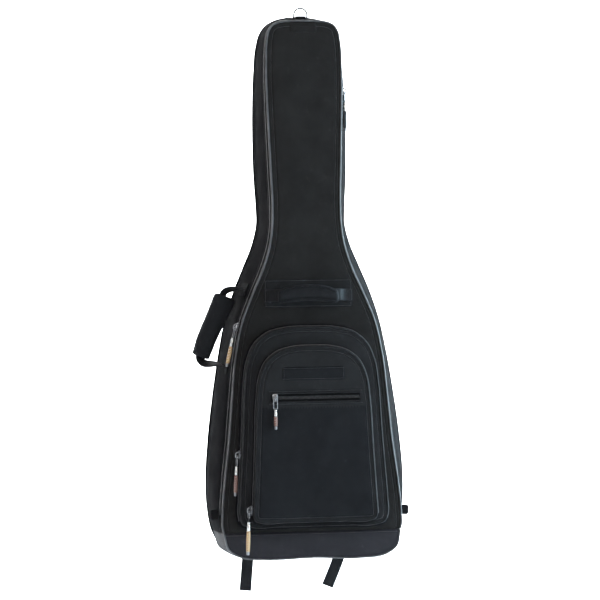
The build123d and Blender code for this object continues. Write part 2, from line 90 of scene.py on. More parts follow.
class Outline:
    """A family of closed half-symmetric outlines that share one set of parameters."""

    def __init__(self, ref, step):
        seg = np.hypot(*np.diff(ref, axis=0).T)
        self.k = np.concatenate([[0], np.cumsum(seg)])
        n = int(self.k[-1] / step)
        self.s = np.linspace(0, self.k[-1], n + 1)

    def half(self, pts, s=None):
        k, s = self.k, (self.s if s is None else s)
        m = np.zeros_like(pts)
        h = np.diff(k)[:, None]
        d = np.diff(pts, axis=0) / h
        m[1:-1] = (d[:-1] * h[1:] + d[1:] * h[:-1]) / (h[:-1] + h[1:])
        m[0], m[-1] = (d[0][0], 0), (d[-1][0], 0)
        i = np.clip(np.searchsorted(k, s, side="right") - 1, 0, len(k) - 2)
        hh = (k[i + 1] - k[i])[:, None]
        t = ((s - k[i]) / (k[i + 1] - k[i]))[:, None]
        t2, t3 = t * t, t * t * t
        return ((2 * t3 - 3 * t2 + 1) * pts[i] + (t3 - 2 * t2 + t) * hh * m[i]
                + (-2 * t3 + 3 * t2) * pts[i + 1] + (t3 - t2) * hh * m[i + 1])

    def closed(self, pts):
        r = self.half(pts)
        left = r[1:-1][::-1].copy()
        left[:, 0] *= -1
        return np.concatenate([r, left])


BODY = Outline((BACK + FRONT) / 2, 6.0)
LARGE = Outline(LARGE_FACE, 5.0)
SMALL = Outline(SMALL_FACE, 5.0)


def depth_y(q, z):
    return (1 - q) * (Y0 + z * TAN) + q * BACK_Y


def body2(q, inset):
    return BODY.closed(shrink(FRONT + (BACK - FRONT) * q, inset))


def body_ring(q, inset, dy=0.0):
    p = body2(q, inset)
    return np.stack([p[:, 0], depth_y(q, p[:, 1]) + dy, p[:, 1]], 1)


def lid(x, w, v):
    """Flap frame to row frame: w is the height above the front plane, v runs up the bag."""
    x, w, v = np.broadcast_arrays(np.asarray(x, float), np.asarray(w, float), np.asarray(v, float))
    c, s = math.cos(-TILT), math.sin(-TILT)
    y = -w * c - v * s + Y0
    z = -w * s + v * c
    return np.stack([x, y, z], -1)


def pocket2(kind, w, inset):
    face, base, w0, w1, o = ((LARGE_FACE, LARGE_BASE, 0.0, LARGE_DEPTH, LARGE) if kind == "large" else
                             (SMALL_FACE, SMALL_BASE, LARGE_DEPTH, SMALL_DEPTH, SMALL))
    q = (w - w0) / (w1 - w0)
    return o.closed(shrink(base + (face - base) * q, inset))


def pocket_ring(kind, w, inset, dw=0.0):
    p = pocket2(kind, w, inset)
    return lid(p[:, 0], w + dw, p[:, 1])


def nz(p, scale, seed=0.0):
    """Smooth noise, -1 to 1, at each point (mm)."""
    return np.array([noise.noise(Vector((a[0] / scale + seed, a[1] / scale - seed, a[2] / scale + 2 * seed))) for a in p])


def normals_of(ring, ref):
    """Outward direction in the ring's own plane, away from ref."""
    t = np.roll(ring, -1, 0) - np.roll(ring, 1, 0)
    n = np.cross(t, np.array([0, 1.0, 0]))
    n /= np.linalg.norm(n, axis=1)[:, None] + 1e-9
    flip = np.sum(n * (ring - ref), 1).mean() < 0
    return -n if flip else n


# ------------------------------------------------------------------ meshes
def mesh(name, verts, faces, uv=None, smooth=True, mats=None, face_mat=None):
    me = bpy.data.meshes.new(name)
    me.from_pydata([tuple(v) for v in np.asarray(verts, float) * MM], [], faces)
    if uv is not None:
        layer = me.uv_layers.new(name="UVMap")
        uv = np.asarray(uv, float)
        idx = np.empty(len(me.loops), np.int32)
        me.loops.foreach_get("vertex_index", idx)
        layer.data.foreach_set("uv", uv[idx].astype(np.float32).ravel())
    if smooth:
        me.polygons.foreach_set("use_smooth", [True] * len(me.polygons))
    ob = bpy.data.objects.new(name, me)
    bpy.context.scene.collection.objects.link(ob)
    for m in mats or []:
        me.materials.append(m)
    if face_mat is not None:
        me.polygons.foreach_set("material_index", np.asarray(face_mat, np.int32))
    me.validate()
    return ob


def loft_faces(nr, n, off=0, wrap=False, closed=True):
    out = []
    for r in range(nr if wrap else nr - 1):
        a, b = off + r * n, off + ((r + 1) % nr) * n
        for i in range(n if closed else n - 1):
            j = (i + 1) % n
            out.append((a + i, a + j, b + j, b + i))
    return out


def loft(name, rings, mats, wrap=False, closed=True, uv_v=None, flip=False):
    rings = [np.asarray(r, float) for r in rings]
    n = len(rings[0])
    v = np.concatenate(rings)
    f = loft_faces(len(rings), n, 0, wrap, closed)
    if flip:
        f = [x[::-1] for x in f]
    d = np.linalg.norm(np.diff(rings[0], axis=0), axis=1)
    u = np.concatenate([[0], np.cumsum(d)]) * MM
    uv = np.concatenate([np.stack([u, np.full(n, (uv_v[i] if uv_v is not None else i / max(1, len(rings) - 1)))], 1)
                         for i in range(len(rings))])
    ob = mesh(name, v, f, uv, True, mats)
    return ob


def dist_to(pts, ring):
    """Distance from each 2-D point to a closed ring."""
    a, b = ring, np.roll(ring, -1, 0)
    ab = b - a
    l2 = (ab ** 2).sum(1)
    best = np.full(len(pts), 1e9)
    for s in range(0, len(pts), 2000):
        p = pts[s:s + 2000]
        ap = p[:, None] - a[None]
        t = np.clip((ap * ab[None]).sum(2) / l2[None], 0, 1)
        best[s:s + 2000] = np.sqrt(((ap - t[..., None] * ab[None]) ** 2).sum(2)).min(1)
    return best


def inside(pts, ring):
    x, y = pts[:, 0], pts[:, 1]
    c = np.zeros(len(pts), bool)
    for (x1, y1), (x2, y2) in zip(ring, np.roll(ring, -1, 0)):
        if y1 == y2:
            continue
        hit = ((y1 > y) != (y2 > y)) & (x < (x2 - x1) * (y - y1) / (y2 - y1) + x1)
        c ^= hit
    return c


def fill(ring, gap):
    """Points inside a closed 2-D ring and the triangles that join them to it: indices below len(ring) are the ring's."""
    lo, hi = ring.min(0), ring.max(0)
    rows = np.arange(lo[1], hi[1], gap * 0.87)
    pts = []
    for i, y in enumerate(rows):
        xs = np.arange(lo[0] - (gap / 2 if i % 2 else 0), hi[0], gap)
        pts.append(np.stack([xs, np.full(len(xs), y)], 1))
    pts = np.concatenate(pts)
    pts = pts[inside(pts, ring)]
    pts = pts[dist_to(pts, ring) > gap * 0.6]
    allp = np.concatenate([ring, pts])
    n = len(ring)
    edges = [(i, (i + 1) % n) for i in range(n)]
    vs, _, fs, orig, _, _ = delaunay_2d_cdt([Vector(p) for p in allp], edges, [list(range(n))], 1, 1e-5)
    back = {k: o[0] for k, o in enumerate(orig) if o}
    tris = []
    for f in fs:
        t = [back[i] for i in f if i in back]
        if len(t) == 3:
            a, b, c = allp[t[0]], allp[t[1]], allp[t[2]]
            if (b[0] - a[0]) * (c[1] - a[1]) - (b[1] - a[1]) * (c[0] - a[0]) > 0:
                t = t[::-1]
            tris.append(tuple(t))
    return pts, tris


def cut(ob, z, keep_above, y0=None):
    """Cuts a mesh at a height (mm) and closes the cut."""
    bm = bmesh.new()
    bm.from_mesh(ob.data)
    res = bmesh.ops.bisect_plane(bm, geom=bm.verts[:] + bm.edges[:] + bm.faces[:], plane_co=(0, 0, z * MM),
                                 plane_no=(0, 0, 1), clear_inner=keep_above, clear_outer=not keep_above, dist=1e-6)
    edges = [e for e in bm.edges if e.is_boundary and abs(e.verts[0].co.z - z * MM) < 1e-5 and abs(e.verts[1].co.z - z * MM) < 1e-5]
    if edges:
        bmesh.ops.holes_fill(bm, edges=edges, sides=0)
        bmesh.ops.triangulate(bm, faces=[f for f in bm.faces if len(f.verts) > 4])
    bm.to_mesh(ob.data)
    bm.free()
    return ob


def fix_normals(ob):
    bm = bmesh.new()
    bm.from_mesh(ob.data)
    bmesh.ops.recalc_face_normals(bm, faces=bm.faces)
    bm.to_mesh(ob.data)
    bm.free()
    return ob


def sub(ob, levels=1):
    m = ob.modifiers.new("smooth", "SUBSURF")
    m.levels = m.render_levels = levels
    return ob


def apply_all(ob):
    dg = bpy.context.evaluated_depsgraph_get()
    me = bpy.data.meshes.new_from_object(ob.evaluated_get(dg))
    old = ob.data
    ob.modifiers.clear()
    ob.data = me
    bpy.data.meshes.remove(old)
    return ob


def tube(name, path, r, mats, closed=True, sides=10, squash=1.0):
    """A round tube along points in mm, with UV u along its length in metres."""
    path = np.asarray(path, float)
    n = len(path)
    if closed:
        t = np.roll(path, -1, 0) - np.roll(path, 1, 0)
    else:
        t = np.gradient(path, axis=0)
    t /= np.linalg.norm(t, axis=1)[:, None]
    up = np.array([0, 1.0, 0]) if abs(t[0][1]) < 0.8 else np.array([1.0, 0, 0])
    a = np.cross(t[0], up)
    a /= np.linalg.norm(a)
    rings = []
    rr = np.broadcast_to(np.asarray(r, float), (n,))
    for i in range(n):
        a = a - t[i] * (a @ t[i])
        a /= np.linalg.norm(a)
        b = np.cross(t[i], a)
        ang = np.arange(sides) / sides * 2 * math.pi
        rings.append(path[i] + rr[i] * (np.cos(ang)[:, None] * a + squash * np.sin(ang)[:, None] * b))
    v = np.concatenate(rings)
    f = []
    for i in range(n if closed else n - 1):
        j = (i + 1) % n
        for k in range(sides):
            l = (k + 1) % sides
            f.append((i * sides + k, i * sides + l, j * sides + l, j * sides + k))
    if not closed:
        f.append(tuple(range(sides))[::-1])
        f.append(tuple((n - 1) * sides + k for k in range(sides)))
    d = np.concatenate([[0], np.cumsum(np.linalg.norm(np.diff(path, axis=0), axis=1))]) * MM
    uv = np.concatenate([np.stack([np.full(sides, d[i]), np.arange(sides) / sides], 1) for i in range(n)])
    return fix_normals(mesh(name, v, f, uv, True, mats))


def strap(name, path, width_dir, width, thick, mats, ridges=True):
    """Flat webbing along points: rounded selvedges, UV u along in metres and v across 0..1."""
    path, wd = np.asarray(path, float), np.asarray(width_dir, float)
    if wd.ndim == 1:
        wd = np.repeat(wd[None], len(path), 0)
    t = np.gradient(path, axis=0)
    t /= np.linalg.norm(t, axis=1)[:, None]
    wd = wd - t * (wd * t).sum(1)[:, None]
    wd /= np.linalg.norm(wd, axis=1)[:, None]
    nn = np.cross(t, wd)
    h, e = thick / 2, min(thick * 0.45, 1.0)
    w = width / 2
    prof = [(-w, 0), (-w + e * 0.3, h * 0.75), (-w + e, h), (-w * 0.5, h), (0, h), (w * 0.5, h), (w - e, h), (w - e * 0.3, h * 0.75), (w, 0),
            (w - e * 0.3, -h * 0.75), (w - e, -h), (w * 0.5, -h), (0, -h), (-w * 0.5, -h), (-w + e, -h), (-w + e * 0.3, -h * 0.75)]
    rings = [path + wd * a + nn * b for a, b in prof]
    k = len(prof)
    v = np.stack(rings, 1).reshape(-1, 3)
    f = []
    for i in range(len(path) - 1):
        for j in range(k):
            l = (j + 1) % k
            f.append((i * k + j, i * k + l, (i + 1) * k + l, (i + 1) * k + j))
    f.append(tuple(range(k))[::-1])
    f.append(tuple((len(path) - 1) * k + j for j in range(k)))
    d = np.concatenate([[0], np.cumsum(np.linalg.norm(np.diff(path, axis=0), axis=1))]) * MM
    uv = np.concatenate([np.stack([np.full(k, d[i]), [(a + w) / width for a, b in prof]], 1) for i in range(len(path))])
    return fix_normals(mesh(name, v, f, uv, True, mats))


def smooth_path(pts, n):
    """A smooth curve through points, n samples even in length."""
    p = np.asarray(pts, float)
    k = np.concatenate([[0], np.cumsum(np.linalg.norm(np.diff(p, axis=0), axis=1))])
    h = np.diff(k)[:, None]
    d = np.diff(p, axis=0) / h
    m = np.zeros_like(p)
    m[1:-1] = (d[:-1] * h[1:] + d[1:] * h[:-1]) / (h[:-1] + h[1:])
    m[0], m[-1] = d[0], d[-1]
    s = np.linspace(0, k[-1], n)
    i = np.clip(np.searchsorted(k, s, side="right") - 1, 0, len(k) - 2)
    hh, t = (k[i + 1] - k[i])[:, None], ((s - k[i]) / (k[i + 1] - k[i]))[:, None]
    t2, t3 = t * t, t * t * t
    return (2 * t3 - 3 * t2 + 1) * p[i] + (t3 - 2 * t2 + t) * hh * m[i] + (-2 * t3 + 3 * t2) * p[i + 1] + (t3 - t2) * hh * m[i + 1]


def resample(path, step, closed=False):
    p = np.asarray(path, float)
    if closed:
        p = np.concatenate([p, p[:1]])
    k = np.concatenate([[0], np.cumsum(np.linalg.norm(np.diff(p, axis=0), axis=1))])
    n = max(2, int(round(k[-1] / step)) + 1)
    s = np.linspace(0, k[-1], n)
    if closed:
        s = s[:-1]
    return np.stack([np.interp(s, k, p[:, i]) for i in range(p.shape[1])], 1)


def along(path, normal, unit_v, unit_f, name, mats, smooth=False):
    """Copies a small shape (x along, y across, z up, in mm) at each point of a path."""
    path = np.asarray(path, float)
    t = np.gradient(path, axis=0)
    t /= np.linalg.norm(t, axis=1)[:, None] + 1e-9
    nn = np.asarray(normal, float)
    if nn.ndim == 1:
        nn = np.repeat(nn[None], len(path), 0)
    nn = nn - t * (nn * t).sum(1)[:, None]
    nn /= np.linalg.norm(nn, axis=1)[:, None] + 1e-9
    b = np.cross(nn, t)
    uvt = np.asarray(unit_v, float)
    k = len(uvt)
    v = (path[:, None] + t[:, None] * uvt[None, :, 0:1] + b[:, None] * uvt[None, :, 1:2] + nn[:, None] * uvt[None, :, 2:3]).reshape(-1, 3)
    f = [tuple(i * k + j for j in q) for i in range(len(path)) for q in unit_f]
    return mesh(name, v, f, None, smooth, mats)


def stitch_unit(length=3.2, r=0.42, lift=0.12):
    v, xs = [], (-length / 2, -length / 4, length / 4, length / 2)
    rs, hs = (0.25 * r, r, r, 0.25 * r), (-0.35, lift, lift, -0.35)
    for x, q, h in zip(xs, rs, hs):
        v += [(x, -q, h), (x, 0, h + q), (x, q, h), (x, 0, h - q)]
    f = []
    for s in range(3):
        for k in range(4):
            l = (k + 1) % 4
            f.append((s * 4 + k, s * 4 + l, (s + 1) * 4 + l, (s + 1) * 4 + k))
    f += [(3, 2, 1, 0), (12, 13, 14, 15)]
    return v, f


def stitches(name, path, normal, mat, pitch=4.0, closed=False, above=None, below_z=None, r=0.42):
    p = resample(path, pitch, closed)
    if above is not None:
        keep = p[:, 2] > above
        p = p[keep]
    if below_z is not None:
        p = p[p[:, 2] < below_z]
    if callable(normal):
        nn = normal(p)
    else:
        nn = normal
    v, f = stitch_unit(r=r)
    return along(p, nn, v, f, name, [mat], True)


def join(name, objs):
    for o in bpy.context.selected_objects:
        o.select_set(False)
    for o in objs:
        o.select_set(True)
    bpy.context.view_layer.objects.active = objs[0]
    bpy.ops.object.join()
    ob = bpy.context.view_layer.objects.active
    ob.name = name
    ob.data.name = name
    ob.select_set(False)
    return ob


def place(ob, body, replaces=()):
    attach(ob, body)
    if replaces:
        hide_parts(*replaces)
    return ob


def soften(name, node, voxel, mats, puff=0.0, cap=6.0, pressure=4.0, shrink_by=0.0, smooth=6, sim=True, extra=None):
    """A padded piece from a plain CAD solid: remeshed, swelled as cloth under pressure, capped and applied."""
    src = NODES[node] if isinstance(node, str) else node
    me = src.data.copy()
    ob = bpy.data.objects.new(name, me)
    bpy.context.scene.collection.objects.link(ob)
    me.materials.clear()
    for m in mats:
        me.materials.append(m)
    r = ob.modifiers.new("remesh", "REMESH")
    r.mode, r.voxel_size, r.use_smooth_shade = "VOXEL", voxel * MM, True
    apply_all(ob)
    if smooth:
        s = ob.modifiers.new("sm", "SMOOTH")
        s.iterations, s.factor = smooth, 0.5
        apply_all(ob)
    n = len(ob.data.vertices)
    co = np.empty(n * 3)
    ob.data.vertices.foreach_get("co", co)
    co = co.reshape(-1, 3)
    if extra is not None:
        co = extra(co / MM) * MM
        ob.data.vertices.foreach_set("co", co.ravel())
        ob.data.update()
    if sim:
        rest = co.copy()
        c = ob.modifiers.new("cloth", "CLOTH")
        st = c.settings
        st.use_pressure, st.uniform_pressure_force = True, pressure
        st.quality, st.mass = 6, 0.3
        st.tension_stiffness = st.compression_stiffness = 22
        st.bending_stiffness = 2.0
        st.effector_weights.gravity = 0
        c.point_cache.frame_start, c.point_cache.frame_end = 1, 20
        for fr in range(1, 21):
            bpy.context.scene.frame_set(fr)
            bpy.context.view_layer.update()
        dg = bpy.context.evaluated_depsgraph_get()
        ev = ob.evaluated_get(dg).data
        out = np.empty(n * 3)
        ev.vertices.foreach_get("co", out)
        out = out.reshape(-1, 3)
        ob.modifiers.clear()
        bpy.context.scene.frame_set(1)
        move = out - rest
        length = np.linalg.norm(move, axis=1)[:, None] + 1e-12
        move *= np.minimum(1, cap * MM / length)
        bad = ~np.isfinite(move).all(1)
        move[bad] = 0
        co = rest + move
        ob.data.vertices.foreach_set("co", co.ravel())
        ob.data.update()
    ob.data.polygons.foreach_set("use_smooth", [True] * len(ob.data.polygons))
    return ob


# ------------------------------------------------------------------ materials
class Graph:
    def __init__(self, name, color, rough, metallic=0.0, sheen=0.0, spec=0.5, coat=0.0, sheen_rough=0.5):
        self.m = bpy.data.materials.new(name)
        self.m.use_nodes = True
        self.nt = self.m.node_tree
        self.b = self.nt.nodes["Principled BSDF"]
        s = self.b.inputs
        s["Base Color"].default_value = (*color, 1)
        s["Roughness"].default_value = rough
        s["Metallic"].default_value = metallic
        s["Sheen Weight"].default_value = sheen
        s["Sheen Roughness"].default_value = sheen_rough
        s["Specular IOR Level"].default_value = spec
        s["Coat Weight"].default_value = coat
        self.obj = self.node("ShaderNodeTexCoord").outputs["Object"]
        self.bump_in = None

    def node(self, kind, **k):
        n = self.nt.nodes.new(kind)
        for a, v in k.items():
            setattr(n, a, v)
        return n

    def link(self, a, b):
        self.nt.links.new(a, b)

    def math(self, op, a, b=None, c=None):
        n = self.node("ShaderNodeMath", operation=op)
        for i, x in enumerate((a, b, c)):
            if x is None:
                continue
            if isinstance(x, (int, float)):
                n.inputs[i].default_value = x
            else:
                self.link(x, n.inputs[i])
        return n.outputs[0]

    def noise(self, scale, detail=3.0, rough=0.55, vec=None):
        n = self.node("ShaderNodeTexNoise")
        n.inputs["Scale"].default_value = scale
        n.inputs["Detail"].default_value = detail
        n.inputs["Roughness"].default_value = rough
        self.link(vec or self.obj, n.inputs["Vector"])
        return n.outputs["Fac"]

    def xyz(self, vec=None):
        n = self.node("ShaderNodeSeparateXYZ")
        self.link(vec or self.obj, n.inputs[0])
        return n.outputs[0], n.outputs[1], n.outputs[2]

    def uv(self):
        n = self.node("ShaderNodeUVMap")
        n.uv_map = "UVMap"
        x, y, _ = self.xyz(n.outputs[0])
        return x, y

    def sine(self, c, period):
        return self.math("SINE", self.math("MULTIPLY", c, 2 * math.pi / period))

    def weave(self, period):
        x, y, z = self.xyz()
        a, b, c = (self.sine(v, period) for v in (x, y, z))
        return self.math("MULTIPLY_ADD", a, c, self.math("MULTIPLY_ADD", a, b, self.math("MULTIPLY", b, c)))

    def ramp(self, fac, lo, hi, a, b):
        n = self.node("ShaderNodeMapRange")
        n.inputs["From Min"].default_value, n.inputs["From Max"].default_value = lo, hi
        n.inputs["To Min"].default_value, n.inputs["To Max"].default_value = a, b
        self.link(fac, n.inputs["Value"])
        return n.outputs[0]

    def mix(self, fac, a, b):
        n = self.node("ShaderNodeMix", data_type="RGBA")
        self.link(fac, n.inputs[0])
        for i, x in ((6, a), (7, b)):
            if isinstance(x, tuple):
                n.inputs[i].default_value = (*x, 1)
            else:
                self.link(x, n.inputs[i])
        return n.outputs[2]

    def bump(self, height, strength, distance):
        n = self.node("ShaderNodeBump")
        n.inputs["Strength"].default_value = strength
        n.inputs["Distance"].default_value = distance
        self.link(height, n.inputs["Height"])
        if self.bump_in is not None:
            self.link(self.bump_in, n.inputs["Normal"])
        self.bump_in = n.outputs[0]
        return self

    def color(self, out):
        self.link(out, self.b.inputs["Base Color"])
        return self

    def rough(self, out):
        self.link(out, self.b.inputs["Roughness"])
        return self

    def done(self):
        if self.bump_in is not None:
            self.link(self.bump_in, self.b.inputs["Normal"])
        return self.m


def fabric(name, dark, light, rough=0.7, period=0.0017, weave=0.5, crease=0.35, sheen=0.15, spec=0.35, crease_scale=34.0):
    """Woven polyester: over-and-under threads with painted shade in their hollows, soft creases, slightly uneven dye
    and rub marks.
    """
    g = Graph(name, light, rough, sheen=sheen, spec=spec)
    w = g.weave(period)
    tone = g.noise(7.0, 5.0, 0.6)
    rub = g.noise(55.0, 4.0, 0.65)
    base = g.mix(g.ramp(tone, 0.32, 0.68, 0.0, 1.0), dark, light)
    # painted shade in the weave's hollows: where the weave height (also used for the bump) is low, the colour is pulled
    # towards 0.45 of the dark tone
    base = g.mix(g.ramp(w, -1.0, 1.2, 0.55, 0.0), base, tuple(c * 0.45 for c in dark))
    base = g.mix(g.ramp(rub, 0.62, 0.8, 0.0, 0.35), base, tuple(min(1, c * 1.9 + 0.004) for c in light))
    g.color(base)
    g.rough(g.ramp(g.noise(22.0, 3.0), 0.3, 0.7, rough - 0.08, rough + 0.08))
    g.bump(g.noise(crease_scale, 4.0, 0.5), crease, 0.0035)
    g.bump(w, weave, 0.00035)
    return g.done()


def webbing_mat(name, dark, light, rough=0.62):
    g = Graph(name, light, rough, sheen=0.0, spec=0.1)
    u, v = g.uv()
    rib = g.math("ABSOLUTE", g.sine(g.math("ADD", u, g.math("MULTIPLY", g.math("ABSOLUTE", g.math("SUBTRACT", g.math("FRACT", g.math("MULTIPLY", v, 6.0)), 0.5)), 0.0026)), 0.0034))
    edge = g.math("ABSOLUTE", g.math("SUBTRACT", v, 0.5))
    # painted shade in the rib grooves: the colour follows the rib heights that drive the bump, dark in the grooves and
    # light on the ridges
    base = g.mix(g.ramp(rib, 0.0, 1.0, 0.0, 1.0), dark, light)
    base = g.mix(g.ramp(edge, 0.42, 0.5, 0.0, 0.5), base, tuple(c * 1.7 for c in light))
    base = g.mix(g.ramp(g.noise(60.0, 4.0), 0.55, 0.75, 0.0, 0.4), base, tuple(c * 1.5 for c in light))
    g.color(base)
    g.bump(rib, 0.55, 0.0005).bump(g.noise(900.0, 2.0), 0.2, 0.0002)
    return g.done()


def mesh_cad_webbing(name, dark, light):
    """For sewn tabs: the same ribs, but across the height."""
    g = Graph(name, light, 0.8, sheen=0.0, spec=0.05)
    x, y, z = g.xyz()
    rib = g.math("ABSOLUTE", g.sine(z, 0.0034))
    # painted shade in the rib grooves: the colour follows the rib heights that drive the bump, dark in the grooves and
    # light on the ridges
    g.color(g.mix(rib, dark, light))
    g.bump(rib, 0.5, 0.0005).bump(g.weave(0.0017), 0.3, 0.0003)
    return g.done()


def metal(name, color, rough, scratch=0.25, dark=None):
    g = Graph(name, color, rough, metallic=1.0)
    n = g.noise(420.0, 4.0, 0.6)
    g.color(g.mix(g.ramp(g.noise(160.0, 3.0), 0.35, 0.7, 0.0, 1.0), tuple(c * 0.72 for c in color) if dark is None else dark, color))
    g.rough(g.ramp(n, 0.3, 0.7, max(0.05, rough - 0.1), rough + 0.12))
    g.bump(n, scratch, 0.00008)
    return g.done()


def cord_mat(name, a, b, c):
    """Braided pull cord in a clear sleeve: two strands of one colour crossed by a paler one."""
    g = Graph(name, a, 0.42, spec=0.5, coat=0.15)
    x, y, z = g.xyz()
    s = g.math("SINE", g.math("MULTIPLY", g.math("ADD", z, g.math("MULTIPLY", g.math("ADD", x, y), 0.8)), 2 * math.pi / 0.0046))
    t = g.math("SINE", g.math("MULTIPLY", g.math("SUBTRACT", z, g.math("MULTIPLY", g.math("ADD", x, y), 0.8)), 2 * math.pi / 0.0046))
    base = g.mix(g.ramp(s, -0.3, 0.5, 0.0, 1.0), a, b)
    base = g.mix(g.ramp(t, 0.35, 0.7, 0.0, 0.8), base, c)
    g.color(base)
    g.bump(g.math("MAXIMUM", s, t), 0.6, 0.0004)
    return g.done()


NYLON = fabric("nylon_black", (0.0074, 0.0068, 0.0066), (0.0120, 0.0110, 0.0106), 0.7, 0.0017, 0.55, 0.4, 0.02, 0.16)
# painted shade: a darker copy of the black nylon for the sides (gussets, pocket walls, rear piping), standing in for
# the shade on them
NYLON_SIDE_SHADED = fabric("nylon_gusset_shaded", (0.0060, 0.0060, 0.0069), (0.0105, 0.0105, 0.0121), 0.88, 0.0017, 0.55, 0.45, 0.0, 0.04, 28.0)
NYLON_POCKET = fabric("nylon_pocket", (0.0077, 0.0078, 0.0085), (0.0118, 0.0120, 0.0136), 0.7, 0.0017, 0.5, 0.42, 0.02, 0.16, 30.0)
NYLON_FINE = fabric("nylon_fine_panel", (0.0046, 0.0050, 0.0064), (0.0080, 0.0087, 0.0108), 0.68, 0.0011, 0.35, 0.25, 0.01, 0.12, 18.0)
GUARD = fabric("guard_coated", (0.0200, 0.0190, 0.0224), (0.0285, 0.0270, 0.0316), 0.66, 0.0024, 0.4, 0.3, 0.02, 0.1, 24.0)
LINING = fabric("lining_plush", (0.075, 0.077, 0.083), (0.115, 0.117, 0.125), 0.92, 0.0023, 0.3, 0.5, 0.5, 0.15, 60.0)
SPACER = fabric("spacer_mesh", (0.0066, 0.0066, 0.0077), (0.0132, 0.0132, 0.0154), 0.78, 0.0046, 1.0, 0.3, 0.04, 0.18, 24.0)
GRIP = fabric("grip_fabric", (0.0068, 0.0070, 0.0082), (0.0120, 0.0125, 0.0150), 0.68, 0.0015, 0.45, 0.55, 0.02, 0.12, 60.0)
FOAM = fabric("foam_core", (0.10, 0.10, 0.105), (0.14, 0.14, 0.148), 0.95, 0.0031, 0.4, 0.6, 0.1, 0.1, 300.0)
WEB = webbing_mat("webbing_black", (0.0049, 0.0049, 0.0056), (0.0147, 0.0147, 0.0161))
WEB_CAD = mesh_cad_webbing("webbing_tab", (0.0049, 0.0049, 0.0056), (0.0147, 0.0147, 0.0161))
TAPE = fabric("zip_tape", (0.0039, 0.0039, 0.0044), (0.0066, 0.0066, 0.0074), 0.82, 0.0013, 0.6, 0.2, 0.0, 0.06)
THREAD = fabric("thread_black", (0.016, 0.016, 0.018), (0.034, 0.034, 0.038), 0.5, 0.0007, 0.5, 0.1, 0.1, 0.5, 200.0)
NICKEL = metal("nickel", (0.34, 0.34, 0.35), 0.3)
RING_WIRE = metal("ring_wire", (0.075, 0.075, 0.08), 0.42)
SLIDER = metal("slider_gunmetal", (0.30, 0.30, 0.31), 0.3, 0.3)
FERRULE = metal("ferrule_bright", (0.80, 0.79, 0.76), 0.22)
SLEEVE = cord_mat("pull_cord", (0.20, 0.085, 0.02), (0.52, 0.29, 0.08), (0.76, 0.67, 0.50))
SLEEVE_RED = cord_mat("pull_cord_red", (0.065, 0.010, 0.008), (0.13, 0.026, 0.018), (0.42, 0.34, 0.28))


def piping_mat():
    g = Graph("piping_reflective", (0.10, 0.10, 0.105), 0.38, spec=0.45, coat=0.1)
    u, v = g.uv()
    rib = g.sine(u, 0.0021)
    g.color(g.mix(g.ramp(g.noise(38.0, 4.0), 0.35, 0.7, 0.0, 1.0), (0.034, 0.034, 0.036), (0.078, 0.078, 0.082)))
    g.rough(g.ramp(g.noise(90.0, 3.0), 0.3, 0.7, 0.3, 0.5))
    g.bump(rib, 0.25, 0.0002).bump(g.noise(70.0, 3.0), 0.4, 0.0012)
    return g.done()


def coil_mat():
    g = Graph("zip_coil", (0.02, 0.02, 0.021), 0.35, spec=0.6)
    g.color(g.mix(g.ramp(g.noise(120.0, 3.0), 0.35, 0.7, 0.0, 1.0), (0.013, 0.013, 0.014), (0.034, 0.034, 0.036)))
    g.bump(g.noise(700.0, 2.0), 0.25, 0.0002)
    return g.done()


def plastic_mat():
    g = Graph("buckle_acetal", (0.018, 0.018, 0.019), 0.42, spec=0.5)
    g.color(g.mix(g.ramp(g.noise(70.0, 4.0), 0.4, 0.7, 0.0, 1.0), (0.014, 0.014, 0.015), (0.024, 0.024, 0.025)))
    g.rough(g.ramp(g.noise(240.0, 3.0), 0.3, 0.7, 0.34, 0.52))
    g.bump(g.noise(1400.0, 2.0), 0.25, 0.00012)
    return g.done()


PIPING, COIL, PLASTIC = piping_mat(), coil_mat(), plastic_mat()


# ------------------------------------------------------------------ the padded front
def front_w(x, z, d):
    """How far the padded front stands off its plane (mm), d in from its seam."""
    p = np.stack([x, np.zeros_like(x), z], 1)
    w = 3.4 * (1 - np.exp(-(d / 17.0) ** 1.15))
    w = w - 1.0 * np.exp(-((d - 9.0) / 1.5) ** 2)
    w = w + 0.8 * np.exp(-((d - 2.0) / 10.0) ** 2) * nz(p, 15.0, 3.1)
    w = w + (1 - np.exp(-d / 22.0)) * (1.3 * nz(p, 110.0, 1.3) + 0.55 * nz(p * np.array([1.0, 1, 0.45]), 42.0, 5.2))
    foot = np.exp(-((z - Z_FOLD) / 10.0) ** 2)
    return w * (1 - 0.75 * foot)


